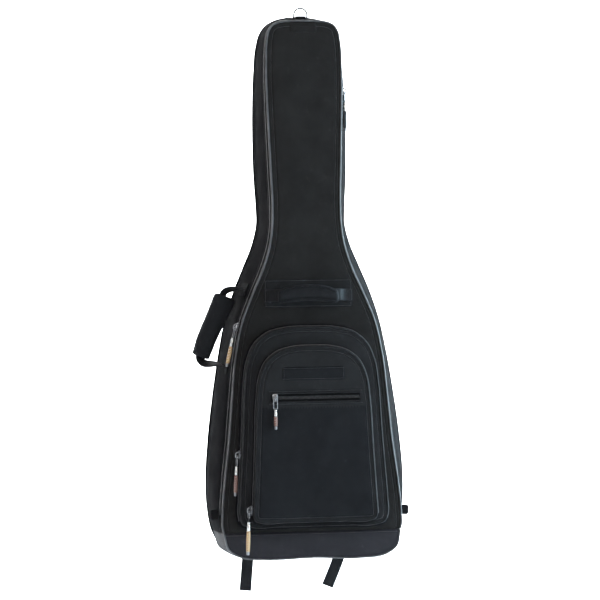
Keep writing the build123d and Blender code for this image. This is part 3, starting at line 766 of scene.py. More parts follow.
def shell_front(name, side, q_back, back_inset, wfun, mats, extra_back=None):
    """The flap's or guard's front: crowned face, turned edge and side strip, closed behind."""
    ins = [18, 14.5, 12, 10.6, 9.6, 9.0, 8.4, 7.4, 6, 4.4, 3, 1.8, 0.9, 0.25]
    ring0 = body2(0, 0)
    rings, uvv = [], []
    for d in ins:
        p = body2(0, d)
        w = wfun(p[:, 0], p[:, 1], np.full(len(p), float(d)))
        rings.append(np.stack([p[:, 0], depth_y(0, p[:, 1]) - w, p[:, 1]], 1))
    for q, i in side:
        r = body_ring(q, i)
        rings.append(r)
    rings.append(body_ring(q_back, back_inset))
    n = len(rings[0])
    v = [np.concatenate(rings)]
    f = loft_faces(len(rings), n)
    # face
    p2 = rings[0][:, [0, 2]]
    pts, tris = fill(p2, 8.0)
    w = wfun(pts[:, 0], pts[:, 1], dist_to(pts, ring0))
    v.append(np.stack([pts[:, 0], depth_y(0, pts[:, 1]) - w, pts[:, 1]], 1))
    off = n * len(rings)
    f += [tuple(k if k < n else off + k - n for k in t) for t in tris]
    # behind
    p2 = rings[-1][:, [0, 2]]
    pts2, tris2 = fill(p2, 26.0)
    v.append(np.stack([pts2[:, 0], depth_y(q_back, pts2[:, 1]), pts2[:, 1]], 1))
    off2, last = off + len(pts), n * (len(rings) - 1)
    f += [tuple(last + k if k < n else off2 + k - n for k in t)[::-1] for t in tris2]
    ob = mesh(name, np.concatenate(v), f, None, True, mats)
    return ob


front = shell_front("front_cover", [(0.010, -0.1), (0.022, -0.25), (0.045, -0.7), (0.075, -0.9), (0.105, -0.5), (0.124, -0.1), (0.128, 0.6)],
                    0.152, 4.0, front_w, [NYLON])
cut(front, Z_FOLD + 0.5, True)
place(fix_normals(front), "front_flap", ["front_panel", "front_foam", "front_gusset"])


def seam_line(d, z_lo, step=4.0):
    p = body2(0, d)
    w = front_w(p[:, 0], p[:, 1], np.full(len(p), float(d)))
    return np.stack([p[:, 0], depth_y(0, p[:, 1]) - w - 0.15, p[:, 1]], 1)


st = stitches("front_seam_stitches", seam_line(9.0, Z_FOLD), np.array([0, -1.0, 0]), THREAD, closed=True, above=Z_FOLD + 4)
place(st, "front_flap")


def guard_w(x, z, d):
    p = np.stack([x, np.zeros_like(x), z], 1)
    w = 2.2 * (1 - np.exp(-(d / 9.0))) + 0.7 * nz(p * np.array([1, 1, 1.6]), 30.0, 8.0) * (1 - np.exp(-d / 12.0))
    w = w + 0.8 * np.exp(-((d - 2.0) / 8.0) ** 2) * nz(p, 13.0, 4.1)
    return w * (1 - 0.9 * np.exp(-((z - Z_FOLD) / 4.0) ** 2))


def foot_form(v):
    """The filled foot: squarer corners and a flatter bottom than the cut outline."""
    v = np.array(v, float)
    a = np.clip((-1046.0 - v[:, 2]) / 26.0, 0, 1)
    t = a * a * (3 - 2 * a)
    b = np.clip(np.abs(v[:, 0]) / 110.0, 0, 1)
    c = b * b * (3 - 2 * b)
    v[:, 2] -= t * (3.6 + c * np.where(v[:, 0] > 0, 4.4, 2.8))
    v[:, 0] += np.sign(v[:, 0]) * t * c * np.where(v[:, 0] > 0, 3.5, 3.0)
    return v


def guard_shell():
    ins = [18, 14.5, 11, 8.4, 6, 4.4, 3, 1.8, 0.9, 0.25]
    rings = []
    ring0 = body2(0, 0)
    for d in ins:
        p = body2(0, d)
        w = guard_w(p[:, 0], p[:, 1], np.full(len(p), float(d)))
        rings.append(np.stack([p[:, 0], depth_y(0, p[:, 1]) - w, p[:, 1]], 1))
    for q in np.concatenate([[0.012, 0.03], np.linspace(0.07, 0.93, 22), [0.975, 0.99]]):
        r = body_ring(q, 0)
        c = r.mean(0)
        b = 1.6 * math.sin(math.pi * min(1, max(0, q))) ** 0.6
        nn = normals_of(r, c)
        wv = 0.9 * nz(r * np.array([1, 1.0, 1]), 24.0, 2.2) * math.sin(math.pi * q) ** 0.5
        rings.append(r + nn * (b + wv)[:, None] if np.ndim(wv) else r + nn * b)
    for d in [0.3, 1.2, 3, 6, 10, 15]:
        p = body2(1.0, d)
        w = 1.0 * (1 - math.exp(-d / 8.0))
        rings.append(np.stack([p[:, 0], np.full(len(p), BACK_Y + w), p[:, 1]], 1))
    n = len(rings[0])
    v = [np.concatenate(rings)]
    f = loft_faces(len(rings), n)
    pts, tris = fill(rings[0][:, [0, 2]], 9.0)
    w = guard_w(pts[:, 0], pts[:, 1], dist_to(pts, ring0))
    v.append(np.stack([pts[:, 0], depth_y(0, pts[:, 1]) - w, pts[:, 1]], 1))
    off = n * len(rings)
    f += [tuple(k if k < n else off + k - n for k in t) for t in tris]
    pts2, tris2 = fill(rings[-1][:, [0, 2]], 20.0)
    v.append(np.stack([pts2[:, 0], np.full(len(pts2), BACK_Y + 0.9), pts2[:, 1]], 1))
    off2, last = off + len(pts), n * (len(rings) - 1)
    f += [tuple(last + k if k < n else off2 + k - n for k in t)[::-1] for t in tris2]
    ob = mesh("bottom_cover", foot_form(np.concatenate(v)), f, None, True, [GUARD])
    return cut(ob, Z_FOLD - 0.4, False)


place(fix_normals(guard_shell()), "root", ["bottom_guard", "bottom_foam"])
# stitches along the seam between the body and the guard
bx = np.linspace(-176.0, 176.0, 120)
bd = np.minimum(20.0, 177.5 - np.abs(bx))
place(stitches("guard_seam_stitches", np.stack([bx, depth_y(0, -1048.5) - 1.6 + 0 * bx, -1048.5 + 0 * bx], 1), np.array([0, -1.0, 0]), THREAD), "root")


# ------------------------------------------------------------------ sides, back and lining
def hoop(name, prof, mats, noise_amp=0.0, noise_scale=30.0, seed=1.0, z_above=None, stretch=(1, 1, 0.5), swell=0.0):
    """A closed hoop round the bag from a closed profile of (q, inset, puff)."""
    rings = []
    for q, i, puff in prof:
        r = body_ring(q, i)
        if puff:
            nn = normals_of(r, r.mean(0))
            r = r + nn * (puff * (1.0 + noise_amp * nz(r * np.array(stretch), noise_scale, seed)))[:, None]
            if swell:
                a = np.clip((-650.0 - r[:, 2]) / 120.0, 0, 1) * np.clip((1046.0 + r[:, 2]) / 70.0, 0, 1) * (r[:, 0] < -60)
                r = r + nn * (swell * a * math.sin(math.pi * min(1.0, max(0.0, (q - 0.262) / 0.71))) ** 0.5)[:, None]
        rings.append(r)
    ob = loft(name, rings, mats, wrap=True)
    if z_above is not None:
        cut(ob, z_above, True)
    return fix_normals(ob)


prof = [(q, 0.0, 0.15 + 2.3 * math.sin(math.pi * (q - 0.262) / 0.71) ** 0.7) for q in np.linspace(0.262, 0.972, 20)]
prof += [(q, 15.0, 0) for q in np.linspace(0.972, 0.262, 6)]
gus = hoop("rear_gusset_cover", prof, [NYLON_SIDE_SHADED], 0.75, 34.0, 6.6, Z_FOLD + 0.3, swell=3.4)
place(gus, "root", ["rear_gusset", "gusset_foam"])
for k, q in (("a", 0.285), ("b", 0.945)):
    r = body_ring(q, -0.75 if k == "a" else -0.9)
    place(stitches("gusset_stitches_" + k, r, lambda p: np.stack([p[:, 0], 0 * p[:, 0], np.where(p[:, 2] > -90, 90.0 + p[:, 2], 0)], 1) + 1e-6, THREAD,
                   closed=True, above=Z_FOLD + 4), "root")


def back_shell():
    ins = [18, 14, 11, 9.6, 9.0, 8.4, 6.5, 4.4, 3, 1.8, 0.9, 0.25]
    ring0 = body2(1, 0)

    def bw(x, z, d):
        p = np.stack([x, np.zeros_like(x), z], 1)
        return (1.3 * (1 - np.exp(-(d / 12.0))) - 0.9 * np.exp(-((d - 9.0) / 1.5) ** 2)
                + (1 - np.exp(-d / 20.0)) * (0.25 * nz(p, 60.0, 2.7) - 0.3))
    rings = []
    for d in ins:
        p = body2(1, d)
        rings.append(np.stack([p[:, 0], BACK_Y + bw(p[:, 0], p[:, 1], np.full(len(p), float(d))), p[:, 1]], 1))
    for q, i in ((0.985, 0.0), (0.977, 0.6), (0.976, 15.0), (0.84, 16.0)):
        rings.append(body_ring(q, i))
    n = len(rings[0])
    v, f = [np.concatenate(rings)], loft_faces(len(rings), n)
    pts, tris = fill(rings[0][:, [0, 2]], 9.0)
    v.append(np.stack([pts[:, 0], BACK_Y + bw(pts[:, 0], pts[:, 1], dist_to(pts, ring0)), pts[:, 1]], 1))
    off = n * len(rings)
    f += [tuple(k if k < n else off + k - n for k in t) for t in tris]
    pts2, tris2 = fill(rings[-1][:, [0, 2]], 26.0)
    v.append(np.stack([pts2[:, 0], depth_y(0.84, pts2[:, 1]), pts2[:, 1]], 1))
    off2, last = off + len(pts), n * (len(rings) - 1)
    f += [tuple(last + k if k < n else off2 + k - n for k in t)[::-1] for t in tris2]
    ob = mesh("back_cover", np.concatenate(v), f, None, True, [SPACER])
    return fix_normals(cut(ob, Z_FOLD + 0.3, True))


place(back_shell(), "root", ["back_panel", "back_foam"])


def quilt(x, z):
    a, b = (x + z) / 62.0, (x - z) / 62.0
    g = lambda t: np.exp(-((t - np.round(t)) * 62.0 / 2.4) ** 2)
    s = np.sin(math.pi * a) ** 2 * np.sin(math.pi * b) ** 2
    return 2.2 * s ** 0.5 - 1.2 * np.maximum(g(a), g(b))


def lining_rear():
    ring_out, ring_in = body2(0.826, 15.4), body2(0.812, 17.0)
    rings = [body_ring(q, 15.2) for q in np.linspace(0.82, 0.264, 8)] + [body_ring(0.258, 15.9)]
    for q in np.linspace(0.264, 0.80, 14):
        r = body_ring(q, 17.0)
        nn = normals_of(r, r.mean(0))
        rings.append(r - nn * (1.0 * math.sin(math.pi * (q - 0.26) / 0.55) ** 2 + 0.5 * nz(r, 22.0, 7.7))[:, None])
    rings.append(body_ring(0.812, 18.5))
    n = len(rings[0])
    v, f = [np.concatenate(rings)], loft_faces(len(rings), n)
    pts, tris = fill(rings[-1][:, [0, 2]], 9.0)
    d = dist_to(pts, ring_in)
    q = quilt(pts[:, 0], pts[:, 1]) * (1 - np.exp(-d / 9.0))
    v.append(np.stack([pts[:, 0], depth_y(0.812, pts[:, 1]) - q, pts[:, 1]], 1))
    off, last = n * len(rings), n * (len(rings) - 1)
    f += [tuple(last + k if k < n else off + k - n for k in t) for t in tris]
    pts2, tris2 = fill(rings[0][:, [0, 2]], 30.0)
    v.append(np.stack([pts2[:, 0], depth_y(0.828, pts2[:, 1]), pts2[:, 1]], 1))
    off2 = off + len(pts)
    f += [tuple(k if k < n else off2 + k - n for k in t)[::-1] for t in tris2]
    ob = mesh("rear_lining_cover", np.concatenate(v), f, None, True, [LINING])
    return fix_normals(cut(ob, Z_FOLD + 0.3, True))


place(lining_rear(), "root", ["rear_lining"])


def lining_front():
    rings = [body_ring(0.153, 5.0), body_ring(0.158, 3.4), body_ring(0.166, 4.2), body_ring(0.168, 7.0), body_ring(0.168, 12.0)]
    n = len(rings[0])
    v, f = [np.concatenate(rings)], loft_faces(len(rings), n)
    pts, tris = fill(rings[-1][:, [0, 2]], 9.0)
    d = dist_to(pts, rings[1][:, [0, 2]])
    v.append(np.stack([pts[:, 0], depth_y(0.168, pts[:, 1]) + 0.8 * quilt(pts[:, 0], pts[:, 1]) * (1 - np.exp(-d / 16.0)), pts[:, 1]], 1))
    off, last = n * len(rings), n * (len(rings) - 1)
    f += [tuple(last + k if k < n else off + k - n for k in t) for t in tris]
    pts2, tris2 = fill(rings[0][:, [0, 2]], 30.0)
    v.append(np.stack([pts2[:, 0], depth_y(0.153, pts2[:, 1]), pts2[:, 1]], 1))
    off2 = off + len(pts)
    f += [tuple(k if k < n else off2 + k - n for k in t)[::-1] for t in tris2]
    ob = mesh("front_lining_cover", np.concatenate(v), f, None, True, [LINING])
    return fix_normals(cut(ob, Z_FOLD + 1.0, True))


place(lining_front(), "front_flap", ["front_lining"])

# ------------------------------------------------------------------ piping
pr = body_ring(0.0, -1.3)
pr[:, 1] -= 0.4 + 0.35 * nz(pr, 40.0, 9.0)
fp = cut(tube("front_piping_cord", resample(pr, 6.0, True), 1.75, [PIPING]), Z_FOLD + 0.5, True)
place(fp, "front_flap", ["front_piping"])
bp = cut(tube("bottom_piping_cord", foot_form(resample(pr, 6.0, True)), 1.75, [PIPING]), Z_FOLD - 0.5, False)
place(bp, "root")
rp = body_ring(0.992, -1.2)
place(tube("rear_piping_cord", resample(rp, 6.0, True), 1.9, [NYLON_SIDE_SHADED]), "root", ["gusset_piping"])


# ------------------------------------------------------------------ zips
TOOTH_V = [(-0.62, -1.7, -0.5), (0.62, -1.7, -0.5), (0.62, 1.7, -0.5), (-0.62, 1.7, -0.5),
           (-0.45, -1.5, 0.75), (0.45, -1.5, 0.75), (0.5, 1.2, 1.0), (-0.5, 1.2, 1.0)]
TOOTH_F = [(3, 2, 1, 0), (4, 5, 6, 7), (0, 1, 5, 4), (1, 2, 6, 5), (2, 3, 7, 6), (3, 0, 4, 7)]


def teeth(name, path, normal, across=1.0, phase=0.0, pitch=2.4):
    path = resample(path, pitch)
    if phase:
        path = path + (np.gradient(path, axis=0)) * phase
    v = [(a, b * across, c) for a, b, c in TOOTH_V]
    return along(path, normal, v, TOOTH_F, name, [COIL])


def open_run(ring, z_min):
    """The part of a closed ring above a height, as one open run over the top."""
    n = len(ring)
    keep = ring[:, 2] > z_min
    start = next(i for i in range(n) if keep[i] and not keep[i - 1])
    run = []
    for k in range(n):
        i = (start + k) % n
        if not keep[i]:
            break
        run.append(i)
    return ring[run], run


def zip_side(base, q_or_w, rings_prof, z_min, side_name, body, replaces, teeth_at, centre_dir, pocket_kind=None):
    get = (lambda q, i: body_ring(q, i)) if pocket_kind is None else (lambda q, i: pocket_ring(pocket_kind, q, i))
    tape = loft(side_name + "_tape", [get(q, i) for q, i in rings_prof], [TAPE], wrap=True)
    if z_min is not None and pocket_kind is None:
        cut(tape, z_min, True)
    place(fix_normals(tape), body, replaces)
    r = get(*teeth_at)
    nn = normals_of(r, r.mean(0))
    z_end = -1012.0 if pocket_kind is None else (-1022.0 if pocket_kind == "large" else -1008.0)
    run, idx = open_run(r, z_end)
    path = resample(np.concatenate([run, nn[idx]], 1), 2.4)
    v = [(a, b * centre_dir, c) for a, b, c in TOOTH_V]
    f = TOOTH_F if centre_dir > 0 else [x[::-1] for x in TOOTH_F]
    p3 = path[:, :3]
    if centre_dir < 0:
        p3 = p3 + np.gradient(p3, axis=0) * 0.5
    ob = along(p3, path[:, 3:], v, f, side_name + "_teeth", [COIL])
    place(ob, body)
    return ob


zip_side(None, None, [(0.131, -0.1), (0.16, -0.5), (0.186, -0.2), (0.186, 1.6), (0.131, 1.8)], Z_FOLD + 0.4, "main_zip_front", "front_flap",
         ["main_zip_front_tape"], (0.1835, -0.6), 1)
zip_side(None, None, [(0.196, -0.2), (0.225, -0.5), (0.258, -0.1), (0.258, 1.8), (0.196, 1.6)], Z_FOLD + 0.4, "main_zip_rear", "root",
         ["main_zip_rear_tape"], (0.1985, -0.6), -1)


# ------------------------------------------------------------------ pockets
def pocket_hoop(name, kind, prof, mats, body, replaces, amp=0.5):
    rings = []
    for w, i, puff in prof:
        r = pocket_ring(kind, w, i)
        if puff:
            nn = normals_of(r, r.mean(0))
            r = r + nn * (puff * (1 + amp * nz(r * np.array([1, 1, 0.6]), 22.0, 3.3)))[:, None]
        rings.append(r)
    ob = loft(name, rings, mats, wrap=True)
    return place(fix_normals(ob), body, replaces)


def pocket_w(kind, x, v, d):
    p = np.stack([x, np.zeros_like(x), v], 1)
    big = 3.2 if kind == "large" else 3.0
    w = big * (1 - np.exp(-(d / 11.0) ** 1.2))
    w = w - 0.9 * np.exp(-((d - 7.5) / 1.3) ** 2)
    w = w + 0.8 * np.exp(-((d - 2.0) / 9.0) ** 2) * nz(p, 12.0, 6.1 if kind == "large" else 2.4)
    w = w + (1 - np.exp(-d / 16.0)) * (1.1 * nz(p, 70.0, 4.0) + 0.6 * nz(p * np.array([1, 1, 0.5]), 26.0, 9.2))
    return w


def pocket_cover(name, kind, w_side, depth, mats, fine=None):
    ring0 = pocket2(kind, depth, 0)
    rings = []
    side = [(w_side, 0.3, 0.0)] + [(w, 0.0, 0.9 * math.sin(math.pi * (w - w_side) / (depth - w_side)) + 0.15)
                                   for w in np.linspace(w_side + 0.3, depth - 1.2, 6)]
    for w, i, puff in side:
        r = pocket_ring(kind, w, i)
        rings.append(r + normals_of(r, r.mean(0)) * puff)
    for d in [0.5, 1.2, 2.2, 3.6, 5.2, 6.4, 7.0, 7.5, 8.0, 8.8, 10.2, 12.5]:
        p = pocket2(kind, depth, d)
        w = depth - 0.6 + pocket_w(kind, p[:, 0], p[:, 1], np.full(len(p), float(d)))
        rings.append(lid(p[:, 0], w, p[:, 1]))
    n = len(rings[0])
    p = pocket2(kind, depth, 12.5)
    pts, tris = fill(p, 6.0)
    w = depth - 0.6 + pocket_w(kind, pts[:, 0], pts[:, 1], dist_to(pts, ring0))
    v = [np.concatenate(rings), lid(pts[:, 0], w, pts[:, 1])]
    f = loft_faces(len(rings), n)
    off, last = n * len(rings), n * (len(rings) - 1)
    tri = [tuple(last + k if k < n else off + k - n for k in t) for t in tris]
    f += tri
    # inside wall and floor
    inner = [pocket_ring(kind, w_side, 1.9), pocket_ring(kind, depth - 2.8, 2.2)]
    offi = off + len(pts)
    v.append(np.concatenate(inner))
    f += [tuple(reversed((i, (i + 1) % n, offi + (i + 1) % n, offi + i))) for i in range(n)]
    f += [x[::-1] for x in loft_faces(2, n, offi)]
    p2 = pocket2(kind, depth - 2.8, 2.2)
    pts2, tris2 = fill(p2, 20.0)
    v.append(lid(pts2[:, 0], depth - 2.8, pts2[:, 1]))
    off2 = offi + 2 * n
    f += [tuple(offi + n + k if k < n else off2 + k - n for k in t)[::-1] for t in tris2]
    allv = np.concatenate(v)
    fm = None
    if fine is not None:
        cen = np.array([allv[list(x)].mean(0) for x in f])
        d2 = dist_to(cen[:, [0, 2]], ring0)
        front_face = cen[:, 1] < depth_y(0, cen[:, 2]) - depth + 2.0
        fm = ((cen[:, 2] < fine) & (d2 > 7.5) & front_face).astype(int)
    return fix_normals(mesh(name, allv, f, None, True, mats, fm))


pocket_hoop("large_pocket_wall", "large", [(w, 0.0, 0.1 + 0.9 * math.sin(math.pi * (w - 0.2) / 13.4)) for w in np.linspace(0.2, 13.6, 8)]
            + [(w, 1.8, 0) for w in (13.6, 7.0, 0.2)], [NYLON_SIDE_SHADED], "front_flap", ["large_pocket_rear_gusset"])
zip_side(None, None, [(13.9, 0.1), (16.0, -0.35), (17.8, 0.0), (17.8, 1.7), (13.9, 1.8)], None, "large_zip_rear", "front_flap",
         ["large_pocket_rear_tape"], (17.3, -0.5), 1, "large")
zip_side(None, None, [(18.6, 0.0), (20.4, -0.35), (22.4, 0.1), (22.4, 1.8), (18.6, 1.7)], None, "large_zip_front", "large_pocket",
         ["large_pocket_front_tape"], (19.1, -0.5), -1, "large")
lc = pocket_cover("large_pocket_cover", "large", 22.6, LARGE_DEPTH, [NYLON_POCKET])
place(lc, "large_pocket", ["large_pocket_panel", "large_pocket_front_gusset"])
pocket_hoop("small_pocket_wall", "small", [(w, 0.0, 0.1 + 0.4 * math.sin(math.pi * (w - 35) / 6.0)) for w in np.linspace(35.0, 41.0, 5)]
            + [(w, 1.8, 0) for w in (41.0, 35.0)], [NYLON_SIDE_SHADED], "large_pocket", ["small_pocket_rear_gusset"])
zip_side(None, None, [(41.2, 0.1), (42.8, -0.3), (44.2, 0.0), (44.2, 1.7), (41.2, 1.8)], None, "small_zip_rear", "large_pocket",
         ["small_pocket_rear_tape"], (43.7, -0.5), 1, "small")
zip_side(None, None, [(45.0, 0.0), (46.4, -0.3), (48.0, 0.1), (48.0, 1.8), (45.0, 1.7)], None, "small_zip_front", "small_pocket",
         ["small_pocket_front_tape"], (45.5, -0.5), -1, "small")
sc = pocket_cover("small_pocket_cover", "small", 48.3, SMALL_DEPTH, [NYLON_POCKET, NYLON_FINE], fine=-795.0)
place(sc, "small_pocket", ["small_pocket_panel", "small_pocket_front_gusset"])
for kind, depth, body in (("large", LARGE_DEPTH, "large_pocket"), ("small", SMALL_DEPTH, "small_pocket")):
    r = pocket_ring(kind, depth - 0.5, 0.3)
    place(tube(kind + "_pocket_edge_cord", resample(r, 5.0, True), 1.7, [NYLON_POCKET], sides=10), body)
    p = pocket2(kind, depth, 7.5)
    w = depth - 0.6 + pocket_w(kind, p[:, 0], p[:, 1], np.full(len(p), 7.5)) + 0.15
    place(stitches(kind + "_pocket_stitches", lid(p[:, 0], w, p[:, 1]), np.array([0, -1.0, 0]), THREAD, closed=True), body)


# ------------------------------------------------------------------ flat patches that follow the padding
def patch_on(name, cx, cv, hx, hv, wfun, thick, mats, radius=5.0, step=3.0, dome=0.0, skirt=1.0):
    """A sewn patch lying on a curved surface: top, rounded corners and turned edge. wfun gives the surface's height."""
    nx, nv = max(6, int(2 * hx / step)), max(4, int(2 * hv / step))
    us, vs = np.linspace(-1, 1, nx + 1), np.linspace(-1, 1, nv + 1)
    uu, vv = np.meshgrid(us, vs)
    x, v = uu * hx, vv * hv
    ex, ev = np.abs(x) - (hx - radius), np.abs(v) - (hv - radius)
    c = (ex > 0) & (ev > 0)
    m = np.maximum(ex, ev)
    l = np.hypot(ex, ev) + 1e-9
    x = np.where(c, np.sign(x) * (hx - radius + ex / l * m), x)
    v = np.where(c, np.sign(v) * (hv - radius + ev / l * m), v)
    x, v = x.ravel() + cx, v.ravel() + cv
    e = np.minimum(hx - np.abs(uu * hx), hv - np.abs(vv * hv)).ravel()
    h = thick * (1 - np.exp(-(e + 0.25) / 0.7)) + dome * (1 - np.exp(-e / 8.0)) - 0.35 * np.exp(-((e - 2.6) / 0.9) ** 2)
    base = wfun(x, v)
    top = lid(x, base + h, v)
    bot = lid(x, base - skirt, v)
    k = nx + 1
    f = [(j * k + i, j * k + i + 1, (j + 1) * k + i + 1, (j + 1) * k + i) for j in range(nv) for i in range(nx)]
    o = len(top)
    f2 = [tuple(o + a for a in q)[::-1] for q in f]
    border = [i for i in range(nx)] + [j * k + nx for j in range(nv)] + [nv * k + i for i in range(nx, 0, -1)] + [j * k for j in range(nv, 0, -1)]
    f3 = [(a, b, o + b, o + a) for a, b in zip(border, border[1:] + border[:1])]
    uv = np.stack([np.concatenate([x, x]) * MM, np.concatenate([vv.ravel(), vv.ravel()]) * 0.5 + 0.5], 1)
    return fix_normals(mesh(name, np.concatenate([top, bot]), f + f2 + f3, uv, True, mats))


def rect_path(cx, cv, hx, hv, wfun, lift, inset=2.6, step=1.0):
    a, b = hx - inset, hv - inset
    pts = []
    for (x0, v0), (x1, v1) in zip([(-a, -b), (a, -b), (a, b), (-a, b)], [(a, -b), (a, b), (-a, b), (-a, -b)]):
        n = max(2, int(math.hypot(x1 - x0, v1 - v0) / step))
        for t in np.linspace(0, 1, n, endpoint=False):
            pts.append((cx + x0 + (x1 - x0) * t, cv + v0 + (v1 - v0) * t))
    pts = np.array(pts)
    return lid(pts[:, 0], wfun(pts[:, 0], pts[:, 1]) + lift, pts[:, 1])


R0 = body2(0, 0)
flap_surface = lambda x, v: front_w(np.asarray(x, float), np.asarray(v, float), dist_to(np.stack([x, v], 1), R0))
S0 = pocket2("small", SMALL_DEPTH, 0)
small_surface = lambda x, v: SMALL_DEPTH - 0.6 + pocket_w("small", np.asarray(x, float), np.asarray(v, float), dist_to(np.stack([x, v], 1), S0))

OUT = np.array([0, -1.0, 0])
place(patch_on("handle_patch", 0, -571, 88, 28, flap_surface, 1.3, [NYLON_POCKET]), "front_flap", ["front_handle_patch"])
place(stitches("handle_patch_stitches", rect_path(0, -571, 88, 28, flap_surface, 1.05), OUT, THREAD), "front_flap")
for s, nm in ((-1, "left"), (1, "right")):
    surf = lambda x, v: flap_surface(x, v) + 1.2
    place(patch_on("handle_anchor_" + nm, s * 81, -575, 8, 14, surf, 2.2, [WEB], radius=2.0, step=2.0), "front_flap")
    place(stitches("handle_anchor_stitches_" + nm, rect_path(s * 81, -575, 8, 14, surf, 2.0), OUT, THREAD), "front_flap")
place(patch_on("top_patch_cover", 0, -41, 27, 9, flap_surface, 1.3, [NYLON], radius=3.0, step=2.0), "front_flap", ["top_patch"])
place(patch_on("label_patch", 0, -730, 62, 13, small_surface, 0.9, [NYLON_FINE], radius=6.0), "small_pocket", ["blank_label"])
place(stitches("label_stitches", rect_path(0, -730, 62, 13, small_surface, 0.75), OUT, THREAD, r=0.35), "small_pocket")

# flat pocket: two tapes with a flap-edge fold above, coil along X
FV = -777.0
place(patch_on("flat_zip_tape", 3, FV, 88, 7, small_surface, 0.9, [TAPE], radius=1.5, step=2.5), "small_pocket", ["flat_pocket_zip"])
xs = np.linspace(-80, 88, 80)
for s, nm in ((1, "upper"), (-1, "lower")):
    vv = np.full(len(xs), FV + s * 1.5)
    pth = lid(xs, small_surface(xs, vv) + 1.1, vv)
    p3 = resample(pth, 2.4) + (np.array([1.2, 0, 0]) if s < 0 else 0)
    v = [(a, b * s, c) for a, b, c in TOOTH_V]
    place(along(p3, OUT, v, TOOTH_F if s > 0 else [x[::-1] for x in TOOTH_F], "flat_zip_teeth_" + nm, [COIL]), "small_pocket")
for dv, nm in ((9.0, "upper"), (-9.0, "lower")):
    x9 = np.linspace(-88, 94, 90)
    v9 = np.full(90, FV + dv)
    w9 = small_surface(x9, v9) + 0.7
    place(tube("flat_zip_fold_" + nm, lid(x9, w9, v9), 2.0, [NYLON_POCKET], closed=False, sides=10, squash=0.6), "small_pocket")
    place(stitches("flat_zip_stitches_" + nm, lid(x9, small_surface(x9, v9 + math.copysign(3.4, dv)) + 0.15, v9 + math.copysign(3.4, dv)), OUT, THREAD), "small_pocket")


# ------------------------------------------------------------------ handles
def loc(p, u, n):
    """Slider frame: x across, -y outwards, z along the zip."""
    u, n, p = (np.asarray(a, float) for a in (u, n, p))
    x = np.cross(u, n)
    return lambda q: p + np.outer(np.asarray(q)[:, 0], x) + np.outer(np.asarray(q)[:, 1], -n) + np.outer(np.asarray(q)[:, 2], u)


def arch(p):
    """The front grip's pad: thicker and higher in the middle, gathered at its ends."""
    c = p.copy()
    t = np.clip(p[:, 0] / 56.0, -1, 1)
    zc = -574.6
    k = 1.12 - 0.34 * t ** 4
    c[:, 2] = zc + (p[:, 2] - zc) * k * 0.94 + 8.5 * (1 - t ** 2) - 4.0
    yc = np.median(p[:, 1])
    c[:, 1] = yc + (p[:, 1] - yc) * (1.06 - 0.30 * t ** 4)
    rib = 0.7 * np.cos(p[:, 0] * 2 * math.pi / 27.0)
    c[:, 2] += np.sign(p[:, 2] - zc) * rib * 0.5
    c[:, 0] = p[:, 0] * 1.12 - 4.0
    return c


fg = soften("front_grip", "front_handle_grip", 3.2, [GRIP], cap=3.0, pressure=4.0, smooth=4, extra=arch)
place(fg, "front_handle", ["front_handle_grip"])
W0 = Y0 + 574.7 * -TAN * -1
pts = [(-83, 7.0), (-76, 7.6), (-70, 13), (-65, 22), (-60, 28.5), (-54, 31), (-30, 32), (0, 32.4), (30, 32), (54, 31), (60, 28.5), (65, 22), (70, 13), (76, 7.6), (83, 7.0)]
sp = smooth_path([(x, w) for x, w in pts], 110)
path = lid(sp[:, 0], sp[:, 1], np.full(len(sp), -575.0))
fw = strap("front_handle_strap", path, np.array([0, 0, 1.0]), 24.0, 2.4, [WEB])
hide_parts("front_handle_webbing")
lid(0, 8.5, -575) * MM
lid(0, 24.0, -575) * MM
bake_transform(fw)   # its sewn ends lie on the flap in this pose; the strap is not attached to a body
# edge bindings on the grip, arched
for s, nm in ((1, "upper"), (-1, "lower")):
    t = np.linspace(-1, 1, 60)
    x = t * 56 - 4.0
    z = (13.5 if s > 0 else -14.0) * 0.94 * (1.0 - 0.25 * t ** 4) + 8.5 * (1 - t ** 2) - 3.5
    w = 31 + 9.6 * (1 - 0.22 * t ** 4)
    place(tube("front_grip_seam_" + nm, lid(x, w, -575 + z), 1.1, [GRIP], closed=False, sides=8), "front_handle")

pa, na = np.array([-120.887, 5.054, -562.0]), np.array([-0.888, -0.283, 0.362])
pb, nb = np.array([-161.25, 3.487, -716.0]), np.array([-0.959, -0.253, 0.129])
g1, g2 = np.array([-167.6, 4.27, -578.0]), np.array([-211.4, 4.27, -688.0])
gd = (g2 - g1) / np.linalg.norm(g2 - g1)


def side_form(p):
    """The side grip: a wide folded pad, fuller at the top and flat towards the bag."""
    c = p.copy()
    mid = (g1 + g2) / 2
    t = ((p - mid) @ gd) / 60.0
    axis = mid + np.outer((p - mid) @ gd, gd)
    out = np.cross(gd, np.array([0, 1.0, 0]))
    out = out if out[0] < 0 else -out
    r = p - axis
    ro = r @ out
    k = np.where(ro > 0, 1.05 + 0.05 * np.sin(t * 3), 1.50 - 0.3 * t)
    c = axis + np.outer(ro * k, out) + np.outer(r[:, 1] * (0.98 - 0.1 * t ** 2), [0, 1, 0])
    c += np.outer(2.6 * (1 - t ** 2) * (ro > -30), out) * 0.7
    c += np.outer(0.7 * nz(p, 17.0, 5.5), out)
    return c


